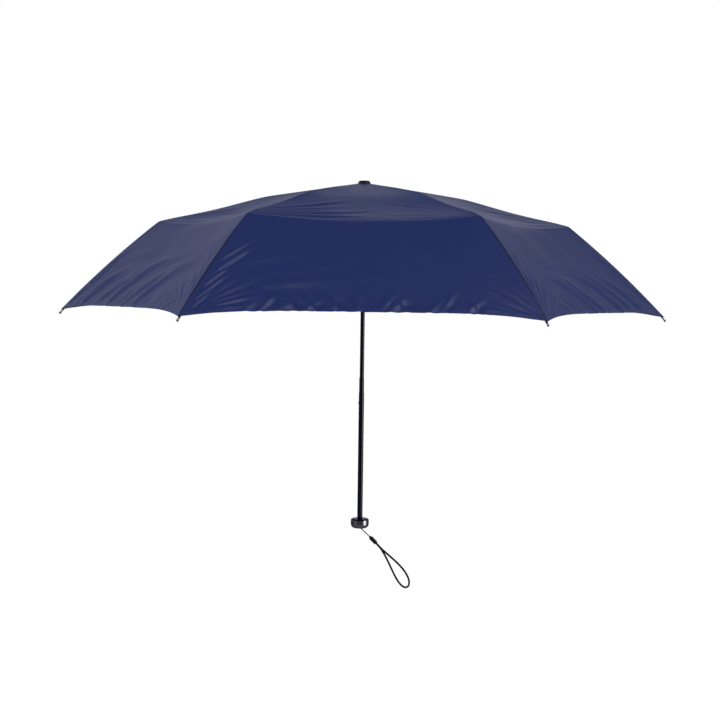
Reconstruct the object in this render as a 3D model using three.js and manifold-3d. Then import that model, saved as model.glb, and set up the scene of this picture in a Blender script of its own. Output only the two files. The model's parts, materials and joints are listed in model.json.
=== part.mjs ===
// Folding umbrella, open: a six-rib, three-section compact umbrella with a telescopic shaft.
//
// Units are millimetres and +Z is up the shaft. The origin is the centre of the handle's flat
// underside. Rib k stands at azimuth 60 * k degrees from +X. Each rib's linkage lies in its own
// radial plane, so it is drawn once in that plane (r outward, z up) and turned into its place.
import * as THREE from 'three';
import { mergeVertices } from 'three/addons/utils/BufferGeometryUtils.js';
import Module from 'manifold-3d';

const wasm = await Module();
wasm.setup();

// ---------- driving dimensions ----------
const RIBS = 6;
const RIB_STEP = 360 / RIBS;
const GAP = 0.3; // clearance between fitted, non-moving neighbours
const ROUND = 28; // sides of the widest turned bodies

// canopy outline along one rib: apex, first joint, second joint, tip (r, z)
const APEX = { r: 0, z: 507 };
const KNEE_1 = { r: 143, z: 485 };
const KNEE_2 = { r: 299.5, z: 447 };
const TIP = { r: 443, z: 316 };
const CLOTH = 0.6; // thickness of the cover
const APEX_HOLE_R = 4.0; // hole in the cover for the ferrule's stem
const HEM_CUT = 12; // how far the hem curves in between two tips
const KNEE_DIP = 9; // how far the cover dips between two second joints
const RIB_BOW = 3.5; // how far an outer rib bends outwards under the cover's pull
// the closing strap lies on panel 1, between two rows of the cover
const STRAP = { length: 110, width: 18, thickness: 1, lift: 2.2, panel: 1, low: 2.96, high: 2.3 };
const HEM_CURVE = 7; // the higher, the closer to the tips the hem turns in
// places of the cover's columns between one rib (-1) and the next (1), and of its rows from the
// apex hole (0) by way of the two joints (1, 2) to the hem (3)
const COVER_ROWS = [0, 1, 1.5, 2, 2.25, 2.5, 2.75, 3];
const COLUMN_PLACES = [-1, -0.9, -0.7, -0.35, 0, 0.35, 0.7, 0.9];

// rib channels and plates
const WEB_DEPTH = 2.4; // from the cover's outer face down to the top of a rib
const CHANNEL_HALF = 1.9; // half width of a rib channel
const SHEET = 0.35; // wall of a channel
const INNER_HEIGHT = 3.2;
const MIDDLE_HEIGHT = 3.0;
const OUTER_HALF = 1.15; // half width of the outer rib and of the stretcher
const OUTER_ROOT_HEIGHT = 2.6;
const OUTER_TIP_HEIGHT = 1.5;
const HINGE_LIFT = 0.35; // a knee's axis stands this far off the faces that fold together
const PIN_R = 0.5;
const PIN_SIDES = 8;
const PIN_HOLE_R = 0.58;
const EYE_R = 1.15;
const SMALL_EYE_R = 0.95;
const TAIL_HALF = 0.9; // half height of the middle rib's tail and of the stretcher's arm
const LEVER_HALF = 0.85; // half height of the outer rib's lever
const FORK = 5; // length over which a channel's top is cut away at a knee
const LAP = 2; // how far two joined pieces of a rib run over each other
const BAR_IN = 2.2; // side bars run beside the channels, from this offset ...
const BAR_OUT = 2.95; // ... to this one
const PIN_END = 3.15; // outer end of the pins that carry a side bar
const LINK_HALF = 0.7; // half height of the link bar
const WIRE_HALF = 0.45; // half height of the control wire
const TIP_SPIGOT = 3; // round end of the outer rib, inside its tip
const TIP_BALL = { r: 1.9, socket: 0.95, neck: 1.4, length: 5.4 };

// hinges at the crown and the runner
const CROWN_HINGE = { r: 8, z: 501.8 };
const CROWN_WEB = 1.6; // a rib's top stands this far over the crown's hinge wire
const CROWN_EYE_R = 1.5;
const RING_WIRE_R = 0.5;
const WIRE_HOLE_R = 0.62;

// the linkage
const STRETCHER = 97; // runner hinge to rib
const STRETCHER_HALF = 1.1; // half height of the stretcher
const RUNNER_EYE_R = 1.3;
const STRETCHER_SEAT = 85; // along the inner rib, crown hinge to stretcher pin
const STRETCHER_PIN_DEPTH = 2; // the pin's depth under the rib's top
const LINK_ARM = 16; // arm on the stretcher that drives the link bar
const LINK_ARM_ANGLE = 14; // between that arm and the stretcher
const TAIL_ANGLE = 206; // direction of the middle rib's tail, from the inner rib's
const WIRE_ARM = 4.2; // control wire's arm at the inner rib
const WIRE_ARM_ANGLE = 215; // its direction, from the inner rib's
const WIRE_LEVER_ANGLE = 125; // direction of the outer rib's lever, from the middle rib's
const CLOSED_SLOPE = { inner: -88, middle: 88.5, outer: -89.5 }; // degrees, umbrella folded

// shaft
const LOWER = { r: 3.85, bore: 3.5, neckR: 3.35, neckBore: 3.15, bottom: 8.5, neck: 199, top: 222 };
const MIDDLE = { r: 3.0, flat: 2.3, bottom: 172, top: 358.5 };
const UPPER = { r: 2.45, flat: 1.3, bottom: 325, top: 503 };
const TUBE_WALL = 0.3; // of the two inner tubes, each with a flat down its -X side
// lock buttons on the -X side: height, radius, and inner and outer end from the shaft's axis
const LOWER_LOCK = { z: 185, radius: 1.0, from: 3.2, to: 4.45 };
const UPPER_LOCK = { z: 345, radius: 0.8, from: 2.05, to: 2.95 };
const LOCK_CLEARANCE = 0.15;

// runner
const RUNNER = { bore: 4.0, core: 5.7, r: 10.5, sleeve: 6.0, half: 3.2, length: 40, foot: 7.4 };
const SLIT_HALF = 1.6;
const RUNNER_BUTTON = { half: 2.2, low: 14, high: 23, from: 5.1, to: 7.6 }; // heights over the foot

// crown and ferrule
const CROWN = { bore: 2.75, core: 5.9, r: 10.5, bottom: 496.6, top: 504.2 };
const CROWN_SLOT_HALF = 2.3;
const WIRE_GROOVE = { r: 7.0, half: 0.85 }; // groove round the crown and the runner
const FERRULE = { stem: 3.0, base: 9.25, top: 7.0 }; // radii
const FERRULE_Z = { collar: 507.0, brim: 506.2, edge: 507.3, crest: 510.0 };

// handle
const HANDLE = { r: 13.35, base: 7.4, height: 14.3, wall: 1.2, belly: 6.3, shoulder: 12.4 };
const COLLAR = { low: 13.15, high: 11.45, lip: 0.5 }; // radii, and the bevel at the shaft
const SOCKET = { r: 4.0, bottom: 8.2 };

// lanyard, leaving the handle's underside towards +X and swinging about an axis along Y
const LANYARD_EXIT = new THREE.Vector3(2.0, -8.6, 0.4);
const LANYARD_SLOPE = -41.5; // degrees, of the string where it leaves the handle
const LANYARD_DROOP = -14; // further turn by the end of the loop
const LANYARD_HOLE_R = 1.3;
const STRING = { r: 0.5, length: 16.5 };
const BEAD = { r: 2.9, length: 14, bore: 2.6, mouth: 3 }; // bore and mouth are depths
const LOOP = { r: 1.05, length: 82, half: 17, doubled: 0.16, root: 2.5 };

const rad = THREE.MathUtils.degToRad;

// ---------- materials ----------
const metal = (colour, roughness) =>
  new THREE.MeshStandardMaterial({ color: colour, metalness: 1, roughness });
const plain = (colour, roughness) =>
  new THREE.MeshStandardMaterial({ color: colour, metalness: 0, roughness });
const STEEL = metal(0xb9bcc0, 0.3);
const BLACK_TUBE = metal(0x2c2c31, 0.2);
const BLACK_STEEL = metal(0x2a2b2e, 0.4);
const GUNMETAL = metal(0x55585e, 0.28);
const DARK_METAL = metal(0x2b2c30, 0.35);
const BLACK_PLASTIC = plain(0x17181a, 0.5);
const CORD = plain(0x101114, 0.8);
const NAVY_CLOTH = plain(0x151b33, 0.55);

// ---------- solids ----------
function solidOf(geometry) {
  const bare = geometry.index ? geometry.toNonIndexed() : geometry.clone();
  bare.deleteAttribute('normal');
  bare.deleteAttribute('uv');
  const merged = mergeVertices(bare, 1e-4);
  return new wasm.Manifold(
    new wasm.Mesh({
      numProp: 3,
      vertProperties: new Float32Array(merged.attributes.position.array),
      triVerts: new Uint32Array(merged.index.array),
    }),
  );
}

function geometryOf(solid) {
  const mesh = solid.getMesh();
  const geometry = new THREE.BufferGeometry();
  geometry.setAttribute('position', new THREE.BufferAttribute(mesh.vertProperties.slice(), 3));
  geometry.setIndex(new THREE.BufferAttribute(mesh.triVerts.slice(), 1));
  return geometry;
}

const join = (...geometries) =>
  geometryOf(geometries.map(solidOf).reduce((whole, piece) => whole.add(piece)));
const cut = (geometry, ...tools) =>
  geometryOf(tools.map(solidOf).reduce((whole, tool) => whole.subtract(tool), solidOf(geometry)));

// a plate in a rib's plane: an outline of (r, z) points with round holes, from offset y0 to y1
function plate(outline, y0, y1, holes = []) {
  const shape = new THREE.Shape(outline.map((p) => new THREE.Vector2(p.r, p.z)));
  for (const hole of holes) {
    const path = new THREE.Path();
    path.absarc(hole.r, hole.z, hole.radius ?? PIN_HOLE_R, 0, Math.PI * 2, true);
    shape.holes.push(path);
  }
  const settings = { depth: y1 - y0, bevelEnabled: false, curveSegments: 5 };
  return new THREE.ExtrudeGeometry(shape, settings).rotateX(Math.PI / 2).translate(0, y1, 0);
}

// a pin across a rib's plane
const pin = (at, y0, y1, radius = PIN_R) =>
  new THREE.CylinderGeometry(radius, radius, y1 - y0, PIN_SIDES).translate(at.r, (y0 + y1) / 2, at.z);

// a body of revolution about +Z from (r, z) points in millimetres
function turned(points, segments = 24, start = 0) {
  const profile = points.map(([r, z]) => new THREE.Vector2(r, z));
  return new THREE.LatheGeometry(profile, segments, start).rotateX(Math.PI / 2);
}

// moves a body of revolution from +Z at the origin to a point of the rib's plane and a slope
const aimed = (geometry, at, slope) =>
  geometry.rotateY(rad(90 - slope)).translate(at.r, 0, at.z);

const ringProfile = (inner, outer, z0, z1) =>
  [[inner, z0], [outer, z0], [outer, z1], [inner, z1], [inner, z0]];

// ---------- plane geometry ----------
const polar = (length, degrees) =>
  ({ r: length * Math.cos(rad(degrees)), z: length * Math.sin(rad(degrees)) });
const plus = (a, b) => ({ r: a.r + b.r, z: a.z + b.z });
const minus = (a, b) => ({ r: a.r - b.r, z: a.z - b.z });
const slopeOf = (from, to) => THREE.MathUtils.radToDeg(Math.atan2(to.z - from.z, to.r - from.r));
const spacing = (a, b) => Math.hypot(a.r - b.r, a.z - b.z);
// the point u along and v above a line that starts at origin with a slope in degrees
const onLine = (origin, slope, u, v) => plus(origin, plus(polar(u, slope), polar(v, slope + 90)));
function turnedAbout(point, centre, degrees) {
  const arm = minus(point, centre);
  return plus(centre, polar(Math.hypot(arm.r, arm.z), slopeOf({ r: 0, z: 0 }, arm) + degrees));
}

// where a function that changes sign between low and high is zero
function zeroOf(f, low, high) {
  const rising = f(high) > 0;
  for (let i = 0; i < 60; i++) {
    const middle = (low + high) / 2;
    if (f(middle) > 0 === rising) high = middle;
    else low = middle;
  }
  return (low + high) / 2;
}

// ---------- the linkage, solved for its open and its folded position ----------
function solveLinkage() {
  const top1 = { r: KNEE_1.r, z: KNEE_1.z - WEB_DEPTH };
  const top2 = { r: KNEE_2.r, z: KNEE_2.z - WEB_DEPTH };
  const topTip = { r: TIP.r - 1.5, z: TIP.z - 1.2 };
  const rootTop = { r: CROWN_HINGE.r, z: CROWN_HINGE.z + CROWN_WEB };
  const inner = slopeOf(rootTop, top1);
  const middle = slopeOf(top1, top2);
  const outer = slopeOf(top2, topTip);
  const knee1 = onLine(top1, inner, 0, HINGE_LIFT);
  const knee2 = onLine(top2, middle, 0, -MIDDLE_HEIGHT - HINGE_LIFT);
  const seat = onLine(CROWN_HINGE, inner, STRETCHER_SEAT, CROWN_WEB - STRETCHER_PIN_DEPTH);

  const turnInner = CLOSED_SLOPE.inner - inner;
  const turnMiddle = CLOSED_SLOPE.middle - middle;
  const turnOuter = CLOSED_SLOPE.outer - outer;
  const seatShut = turnedAbout(seat, CROWN_HINGE, turnInner);
  const knee1Shut = turnedAbout(knee1, CROWN_HINGE, turnInner);
  const knee2Shut = plus(knee1Shut, minus(turnedAbout(knee2, knee1, turnMiddle), knee1));

  const runnerUnder = (p) => ({
    r: CROWN_HINGE.r,
    z: p.z - Math.sqrt(STRETCHER ** 2 - (p.r - CROWN_HINGE.r) ** 2),
  });
  const runner = runnerUnder(seat);
  const runnerShut = runnerUnder(seatShut);
  const stretcher = slopeOf(runner, seat);
  const turnStretcher = slopeOf(runnerShut, seatShut) - stretcher;

  const arm = polar(LINK_ARM, stretcher + 180 - LINK_ARM_ANGLE);
  const drive = plus(seat, arm);
  const driveShut = plus(seatShut, minus(turnedAbout(drive, seat, turnStretcher), seat));
  const tailEnd = (length) => plus(knee1, polar(length, inner + TAIL_ANGLE));
  const tailEndShut = (length) => plus(knee1Shut, polar(length, inner + TAIL_ANGLE + turnMiddle));
  const linkMismatch = (length) =>
    spacing(drive, tailEnd(length)) - spacing(driveShut, tailEndShut(length));
  const tail = tailEnd(zeroOf(linkMismatch, 6, 26));

  const wireRoot = plus(knee1, polar(WIRE_ARM, inner + WIRE_ARM_ANGLE));
  const wireRootShut = turnedAbout(wireRoot, CROWN_HINGE, turnInner);
  const leverEnd = (length) => plus(knee2, polar(length, middle + WIRE_LEVER_ANGLE));
  const leverEndShut = (length) =>
    plus(knee2Shut, polar(length, middle + WIRE_LEVER_ANGLE + turnOuter));
  const wireMismatch = (length) =>
    spacing(wireRoot, leverEnd(length)) - spacing(wireRootShut, leverEndShut(length));
  const lever = leverEnd(zeroOf(wireMismatch, 2, 12));

  return {
    slopes: { inner, middle, outer, stretcher },
    rootTop, top1, top2, topTip, knee1, knee2, seat, runner, drive, tail, wireRoot, lever,
  };
}

const L = solveLinkage();

// ---------- one rib's pieces ----------
// a straight bar's outline between two distances u along a line and two heights v over it
function barOutline(origin, slope, u0, u1, v0, v1) {
  return [[u0, v0], [u1, v0], [u1, v1], [u0, v1]].map(([u, v]) => onLine(origin, slope, u, v));
}

function ear(at, y0, y1, radius = EYE_R, hole = 0) {
  const disc = pin(at, y0, y1, radius);
  return hole > 0 ? cut(disc, pin(at, y0 - 1, y1 + 1, hole)) : disc;
}

// a U channel: a top strip and two side walls, open underneath
function channel(origin, slope, u0, u1, webU0, webU1, height) {
  const wall = barOutline(origin, slope, u0, u1, -height, 0);
  const top = barOutline(origin, slope, webU0, webU1, -SHEET, 0);
  return join(
    plate(wall, CHANNEL_HALF - SHEET, CHANNEL_HALF),
    plate(wall, -CHANNEL_HALF, SHEET - CHANNEL_HALF),
    plate(top, -CHANNEL_HALF, CHANNEL_HALF),
  );
}

// an ear on each side wall, with a hole or with the pin that joins them
function forkEars(at) {
  return [
    ear(at, CHANNEL_HALF - SHEET, CHANNEL_HALF),
    ear(at, -CHANNEL_HALF, SHEET - CHANNEL_HALF),
    pin(at, -CHANNEL_HALF, CHANNEL_HALF),
  ];
}

function ribInner() {
  const slope = L.slopes.inner;
  const length = spacing(L.rootTop, L.top1);
  const body = join(
    channel(L.rootTop, slope, 0, length, EYE_R + 1, length - FORK, INNER_HEIGHT),
    ear(CROWN_HINGE, CHANNEL_HALF - SHEET, CHANNEL_HALF, CROWN_EYE_R),
    ear(CROWN_HINGE, -CHANNEL_HALF, SHEET - CHANNEL_HALF, CROWN_EYE_R),
    ...forkEars(L.knee1),
    pin(L.seat, -CHANNEL_HALF, CHANNEL_HALF),
    pin(L.wireRoot, -PIN_END, SHEET - CHANNEL_HALF),
  );
  return cut(body, pin(CROWN_HINGE, -3, 3, WIRE_HOLE_R));
}

function ribMiddle() {
  const slope = L.slopes.middle;
  const length = spacing(L.top1, L.top2);
  const tongue = [
    onLine(L.knee1, slope, 0, EYE_R - SHEET),
    onLine(L.knee1, slope, 0, -EYE_R),
    onLine(L.top1, slope, FORK + LAP, -MIDDLE_HEIGHT),
    onLine(L.top1, slope, FORK + LAP, 0),
    onLine(L.top1, slope, FORK - LAP, 0),
  ];
  const tailSlope = slopeOf(L.knee1, L.tail);
  const tail = barOutline(
    L.knee1, tailSlope, 0, spacing(L.knee1, L.tail), -TAIL_HALF, TAIL_HALF);
  const inside = CHANNEL_HALF - SHEET;
  const narrow = inside - GAP;
  const body = join(
    channel(L.top1, slope, FORK - LAP, length, FORK - LAP, length - FORK, MIDDLE_HEIGHT),
    plate(tongue, -narrow, narrow),
    plate(barOutline(L.top1, slope, FORK, FORK + LAP, -MIDDLE_HEIGHT, 0), -CHANNEL_HALF, CHANNEL_HALF),
    plate(tail, -narrow, narrow),
    ear(L.knee1, -narrow, narrow),
    ear(L.tail, -narrow, narrow),
    ...forkEars(L.knee2),
  );
  return cut(body, pin(L.knee1, -2, 2, PIN_HOLE_R), pin(L.tail, -2, 2, PIN_HOLE_R));
}

// how far the outer rib stands out at a share of its length, and the turn of its end from its chord
const bowAt = (share) => RIB_BOW * 4 * share * (1 - share);
const OUTER_END_TURN = -THREE.MathUtils.radToDeg(Math.atan((4 * RIB_BOW) / spacing(L.knee2, L.topTip)));

// one long edge of the outer rib, from a to b, bent outwards
function bowedEdge(a, b) {
  return [0, 0.2, 0.4, 0.6, 0.8, 1].map((share) => {
    const chord = plus(a, polar(spacing(a, b) * share, slopeOf(a, b)));
    return plus(chord, polar(bowAt(share), L.slopes.outer + 90));
  });
}

function ribOuter() {
  const slope = L.slopes.outer;
  const end = L.topTip;
  const outline = [
    ...bowedEdge(onLine(L.knee2, slope, 0, HINGE_LIFT), onLine(end, slope, 0, -OUTER_TIP_HEIGHT)),
    ...bowedEdge(end, onLine(L.knee2, slope, 0, HINGE_LIFT + OUTER_ROOT_HEIGHT)),
  ];
  const lever = barOutline(
    L.knee2, slopeOf(L.knee2, L.lever), 0, spacing(L.knee2, L.lever), -LEVER_HALF, LEVER_HALF);
  const spigot = turned([[0, -1], [0.6, -1], [0.6, TIP_SPIGOT], [0, TIP_SPIGOT]], 8);
  const body = join(
    plate(outline, -OUTER_HALF, OUTER_HALF),
    plate(lever, -OUTER_HALF, OUTER_HALF),
    ear(L.knee2, -OUTER_HALF, OUTER_HALF),
    ear(L.lever, -OUTER_HALF, OUTER_HALF, SMALL_EYE_R),
    aimed(spigot, onLine(end, slope, 0, -OUTER_TIP_HEIGHT / 2), slope + OUTER_END_TURN),
  );
  return cut(body, pin(L.knee2, -2, 2, PIN_HOLE_R), pin(L.lever, -2, 2, PIN_HOLE_R));
}

// the bright ball on the end of a rib, with the socket that takes the rib's spigot
function ribTip() {
  const { r, socket, neck, length } = TIP_BALL;
  const ball = [-30, 0, 40, 70].map((degrees) => {
    const p = polar(r, degrees);
    return [p.r, length - r + p.z];
  });
  const profile = [
    [0, TIP_SPIGOT], [socket, TIP_SPIGOT], [socket, 0], [neck, 0], [neck, length - 2 * r],
    ...ball, [0, length],
  ];
  const centre = onLine(L.topTip, L.slopes.outer, GAP, -OUTER_TIP_HEIGHT / 2);
  return aimed(turned(profile, 10), centre, L.slopes.outer + OUTER_END_TURN);
}

function stretcher() {
  const bar = barOutline(
    L.runner, L.slopes.stretcher, 0, STRETCHER, -STRETCHER_HALF, STRETCHER_HALF);
  const arm = barOutline(
    L.seat, slopeOf(L.seat, L.drive), 0, spacing(L.seat, L.drive), -TAIL_HALF, TAIL_HALF);
  const body = join(
    plate(bar, -OUTER_HALF, OUTER_HALF),
    plate(arm, -OUTER_HALF, OUTER_HALF),
    ear(L.runner, -OUTER_HALF, OUTER_HALF, RUNNER_EYE_R),
    ear(L.seat, -OUTER_HALF, OUTER_HALF),
    ear(L.drive, -OUTER_HALF, OUTER_HALF),
    pin(L.drive, 0, PIN_END),
  );
  return cut(body, pin(L.runner, -2, 2, PIN_HOLE_R), pin(L.seat, -2, 2, PIN_HOLE_R));
}

// a flat bar with an eye at each end, beside the rib
function sideBar(from, to, half, y0, y1) {
  const body = join(
    plate(barOutline(from, slopeOf(from, to), 0, spacing(from, to), -half, half), y0, y1),
    ear(from, y0, y1, SMALL_EYE_R),
    ear(to, y0, y1, SMALL_EYE_R),
  );
  return cut(body, pin(from, y0 - 1, y1 + 1, PIN_HOLE_R), pin(to, y0 - 1, y1 + 1, PIN_HOLE_R));
}

const linkBar = () => sideBar(L.drive, L.tail, LINK_HALF, BAR_IN, BAR_OUT);
const controlWire = () => sideBar(L.wireRoot, L.lever, WIRE_HALF, -BAR_OUT, -BAR_IN);

// ---------- shaft ----------
// a box from its lowest and highest corner
function block(low, high) {
  const size = high.map((value, i) => value - low[i]);
  const middle = high.map((value, i) => (value + low[i]) / 2);
  return new THREE.BoxGeometry(...size).translate(...middle);
}

// a round bar along X, from x0 to x1 at a height
const crossBar = (radius, x0, x1, z, y = 0) =>
  new THREE.CylinderGeometry(radius, radius, x1 - x0, 12)
    .rotateZ(Math.PI / 2)
    .translate((x0 + x1) / 2, y, z);

function shaftLower() {
  const shoulder = 2;
  const tube = turned([
    [LOWER.bore, LOWER.bottom],
    [LOWER.r, LOWER.bottom],
    [LOWER.r, LOWER.neck],
    [LOWER.neckR, LOWER.neck + shoulder],
    [LOWER.neckR, LOWER.top],
    [LOWER.neckBore, LOWER.top],
    [LOWER.neckBore, LOWER.neck + shoulder / 2],
    [LOWER.bore, LOWER.neck - shoulder / 2],
    [LOWER.bore, LOWER.bottom],
  ]);
  const hole = LOWER_LOCK.radius + LOCK_CLEARANCE;
  return cut(tube, crossBar(hole, -LOWER.r - 1, -LOWER.r + 1.2, LOWER_LOCK.z));
}

// a round tube with one flat side towards -X
function flattedTube({ r, flat, bottom, top }) {
  const outline = (Kind, radius, depth) => {
    const half = Math.PI - Math.acos(depth / radius);
    return new Kind().absarc(0, 0, radius, -half, half, false);
  };
  const shape = outline(THREE.Shape, r, flat);
  shape.holes.push(outline(THREE.Path, r - TUBE_WALL, flat - TUBE_WALL));
  const settings = { depth: top - bottom, bevelEnabled: false, curveSegments: 20 };
  return new THREE.ExtrudeGeometry(shape, settings).translate(0, 0, bottom);
}

function shaftMiddle() {
  const hole = UPPER_LOCK.radius + LOCK_CLEARANCE;
  return cut(flattedTube(MIDDLE), crossBar(hole, -MIDDLE.r - 1, -MIDDLE.flat + 1, UPPER_LOCK.z));
}

const shaftUpper = () => flattedTube(UPPER);
const lockButton = ({ radius, from, to, z }) => crossBar(radius, -to, -from, z);

// ---------- crown, ferrule and runner ----------
// radial slots for the six linkages, cut from radius inner outwards
function slots(inner, outer, half, z0, z1) {
  return Array.from({ length: RIBS }, (_, k) =>
    block([inner, -half, z0], [outer + 1, half, z1]).rotateZ(rad(RIB_STEP * k)));
}

const wireGroove = (outer, z) =>
  turned(ringProfile(WIRE_GROOVE.r, outer + 1, z - WIRE_GROOVE.half, z + WIRE_GROOVE.half));

function crown() {
  const body = turned([
    [CROWN.bore, CROWN.bottom],
    [CROWN.r - 1.5, CROWN.bottom],
    [CROWN.r, CROWN.bottom + 1.5],
    [CROWN.r, CROWN.top - 1],
    [CROWN.r - 1, CROWN.top],
    [0, CROWN.top],
    [0, UPPER.top + GAP],
    [CROWN.bore, UPPER.top + GAP],
    [CROWN.bore, CROWN.bottom],
  ], ROUND);
  return cut(
    body,
    ...slots(CROWN.core, CROWN.r, CROWN_SLOT_HALF, CROWN.bottom - 1, CROWN.top + 1),
    wireGroove(CROWN.r, CROWN_HINGE.z),
  );
}

// six straight sides, one across each rib
function crownWire() {
  const corner = CROWN_HINGE.r / Math.cos(rad(RIB_STEP / 2));
  const section = Array.from({ length: 9 }, (_, i) => {
    const p = polar(RING_WIRE_R, 45 * i);
    return [corner + p.r, CROWN_HINGE.z + p.z];
  });
  return turned(section, RIBS, rad(RIB_STEP));
}

// its underside is a cone that lies along the cover
const ferruleCap = () => turned([
  [0, CROWN.top + GAP],
  [FERRULE.stem, CROWN.top + GAP],
  [FERRULE.stem, FERRULE_Z.collar],
  [FERRULE.base, FERRULE_Z.brim],
  [FERRULE.base, FERRULE_Z.edge],
  [FERRULE.top, FERRULE_Z.crest],
  [0, FERRULE_Z.crest],
], ROUND);

const runnerFoot = () => L.runner.z + RUNNER.half - RUNNER.length;

function runner() {
  const foot = runnerFoot();
  const top = L.runner.z + RUNNER.half;
  const head = L.runner.z - RUNNER.half;
  const body = turned([
    [RUNNER.bore, foot],
    [RUNNER.foot, foot],
    [RUNNER.foot, foot + 4],
    [RUNNER.sleeve, foot + 5.5],
    [RUNNER.sleeve, head - 2],
    [RUNNER.r - 1, head],
    [RUNNER.r, head + 1],
    [RUNNER.r, top - 1],
    [RUNNER.r - 1, top],
    [RUNNER.bore, top],
    [RUNNER.bore, foot],
  ], ROUND);
  const b = RUNNER_BUTTON;
  const edge = b.half + GAP;
  const window_ = block(
    [-edge, -RUNNER.r, foot + b.low - GAP], [edge, 0, foot + b.high + GAP]);
  return cut(
    body,
    ...slots(RUNNER.core, RUNNER.r, SLIT_HALF, head - 3, top + 1),
    wireGroove(RUNNER.r, L.runner.z),
    window_,
  );
}

function runnerButton() {
  const b = RUNNER_BUTTON;
  const foot = runnerFoot();
  return block([-b.half, -b.to, foot + b.low], [b.half, -b.from, foot + b.high]);
}

// ---------- handle ----------
// the shell's outer curve from its flat underside up to its shoulder, moved in by a wall
function handleCurve(inset) {
  const points = [];
  for (let i = 0; i <= 4; i++) {
    const angle = (Math.PI / 2) * (i / 4);
    points.push([
      HANDLE.base + (HANDLE.r - HANDLE.base) * Math.sin(angle) - inset,
      inset + (HANDLE.belly - inset) * (1 - Math.cos(angle)),
    ]);
  }
  return points;
}

// the hole through which the lanyard's string leaves the handle
const lanyardHole = () => {
  const hole = new THREE.CylinderGeometry(LANYARD_HOLE_R, LANYARD_HOLE_R, 8, 12);
  return hole
    .rotateZ(rad(LANYARD_SLOPE - 90))
    .translate(LANYARD_EXIT.x, LANYARD_EXIT.y, LANYARD_EXIT.z);
};

function handleShell() {
  const cup = turned([
    [0, 0], ...handleCurve(0),
    [HANDLE.r, HANDLE.shoulder], [HANDLE.r - HANDLE.wall, HANDLE.shoulder],
    ...handleCurve(HANDLE.wall).reverse(), [0, HANDLE.wall],
  ], ROUND);
  return cut(cup, lanyardHole());
}

function handleCore() {
  const inset = HANDLE.wall + GAP;
  const body = turned([
    [0, inset], ...handleCurve(inset),
    [HANDLE.r - inset, HANDLE.shoulder - GAP], [SOCKET.r, HANDLE.shoulder - GAP],
    [SOCKET.r, SOCKET.bottom], [0, SOCKET.bottom],
  ], ROUND);
  return cut(body, lanyardHole());
}

const handleCollar = () => turned([
  [SOCKET.r, HANDLE.shoulder + GAP],
  [COLLAR.low, HANDLE.shoulder + GAP],
  [COLLAR.high, HANDLE.height],
  [SOCKET.r + COLLAR.lip, HANDLE.height],
  [SOCKET.r, HANDLE.height - COLLAR.lip],
  [SOCKET.r, HANDLE.shoulder + GAP],
], ROUND);

// ---------- lanyard ----------
// a point of the lanyard, s along it from the handle and v to its side; it droops as it goes
function lanyardPoint(s, v = 0) {
  const whole = STRING.length + BEAD.length + LOOP.length;
  const slope = rad(LANYARD_SLOPE + (LANYARD_DROOP * Math.max(s, 0)) / whole / 2);
  return LANYARD_EXIT.clone().add(new THREE.Vector3(
    s * Math.cos(slope) - v * Math.sin(slope), 0, s * Math.sin(slope) + v * Math.cos(slope)));
}

function cordAlong(points, radius, steps) {
  const path = new THREE.CatmullRomCurve3(points);
  const shape = new THREE.Shape().absarc(0, 0, radius, 0, Math.PI * 2, false);
  return new THREE.ExtrudeGeometry(
    shape, { steps, extrudePath: path, curveSegments: 4, bevelEnabled: false });
}

const lanyardString = () =>
  cordAlong([-1.2, 3, 8, 13, STRING.length + 2].map((s) => lanyardPoint(s)), STRING.r, 6);

function lanyardBead() {
  const { r, length, bore, mouth } = BEAD;
  const hole = STRING.r + GAP;
  const wide = 2 * LOOP.r + GAP;
  const bead = turned([
    [0, bore], [hole, bore], [hole, 0], [r * 0.6, 0], [r * 0.9, 1],
    [r, 3], [r, length - 2], [r * 0.95, length], [wide, length], [wide, length - mouth],
    [0, length - mouth],
  ], 16);
  const start = lanyardPoint(STRING.length);
  const end = lanyardPoint(STRING.length + length);
  const slope = slopeOf({ r: start.x, z: start.z }, { r: end.x, z: end.z });
  return aimed(bead, { r: start.x, z: start.z }, slope).translate(0, start.y, 0);
}

// one cord out of the bead and, beside itself at first, round a teardrop back into the bead
function lanyardLoop() {
  const count = 28;
  const start = STRING.length + BEAD.length - LOOP.root;
  const points = Array.from({ length: count + 1 }, (_, i) => {
    const t = (2 * Math.PI * i) / count;
    const share = (1 - Math.cos(t)) / 2;
    const open = Math.max(share - LOOP.doubled, 0) / (1 - LOOP.doubled);
    const side = Math.sign(Math.PI - t) * LOOP.half * open * Math.sqrt(1 - open ** 2);
    const behind = LOOP.r * 1.1 * Math.cos(t / 2);
    return lanyardPoint(start + LOOP.length * share, side).add(new THREE.Vector3(0, behind, 0));
  });
  return cordAlong(points, LOOP.r, 44);
}

// ---------- cover ----------
// height and radius of the cover's outer face along a rib, w from 0 at the apex to 3 at the tip
const COVER_LINE = [{ r: APEX_HOLE_R, z: APEX.z - 0.5 }, KNEE_1, KNEE_2, TIP];

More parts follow.
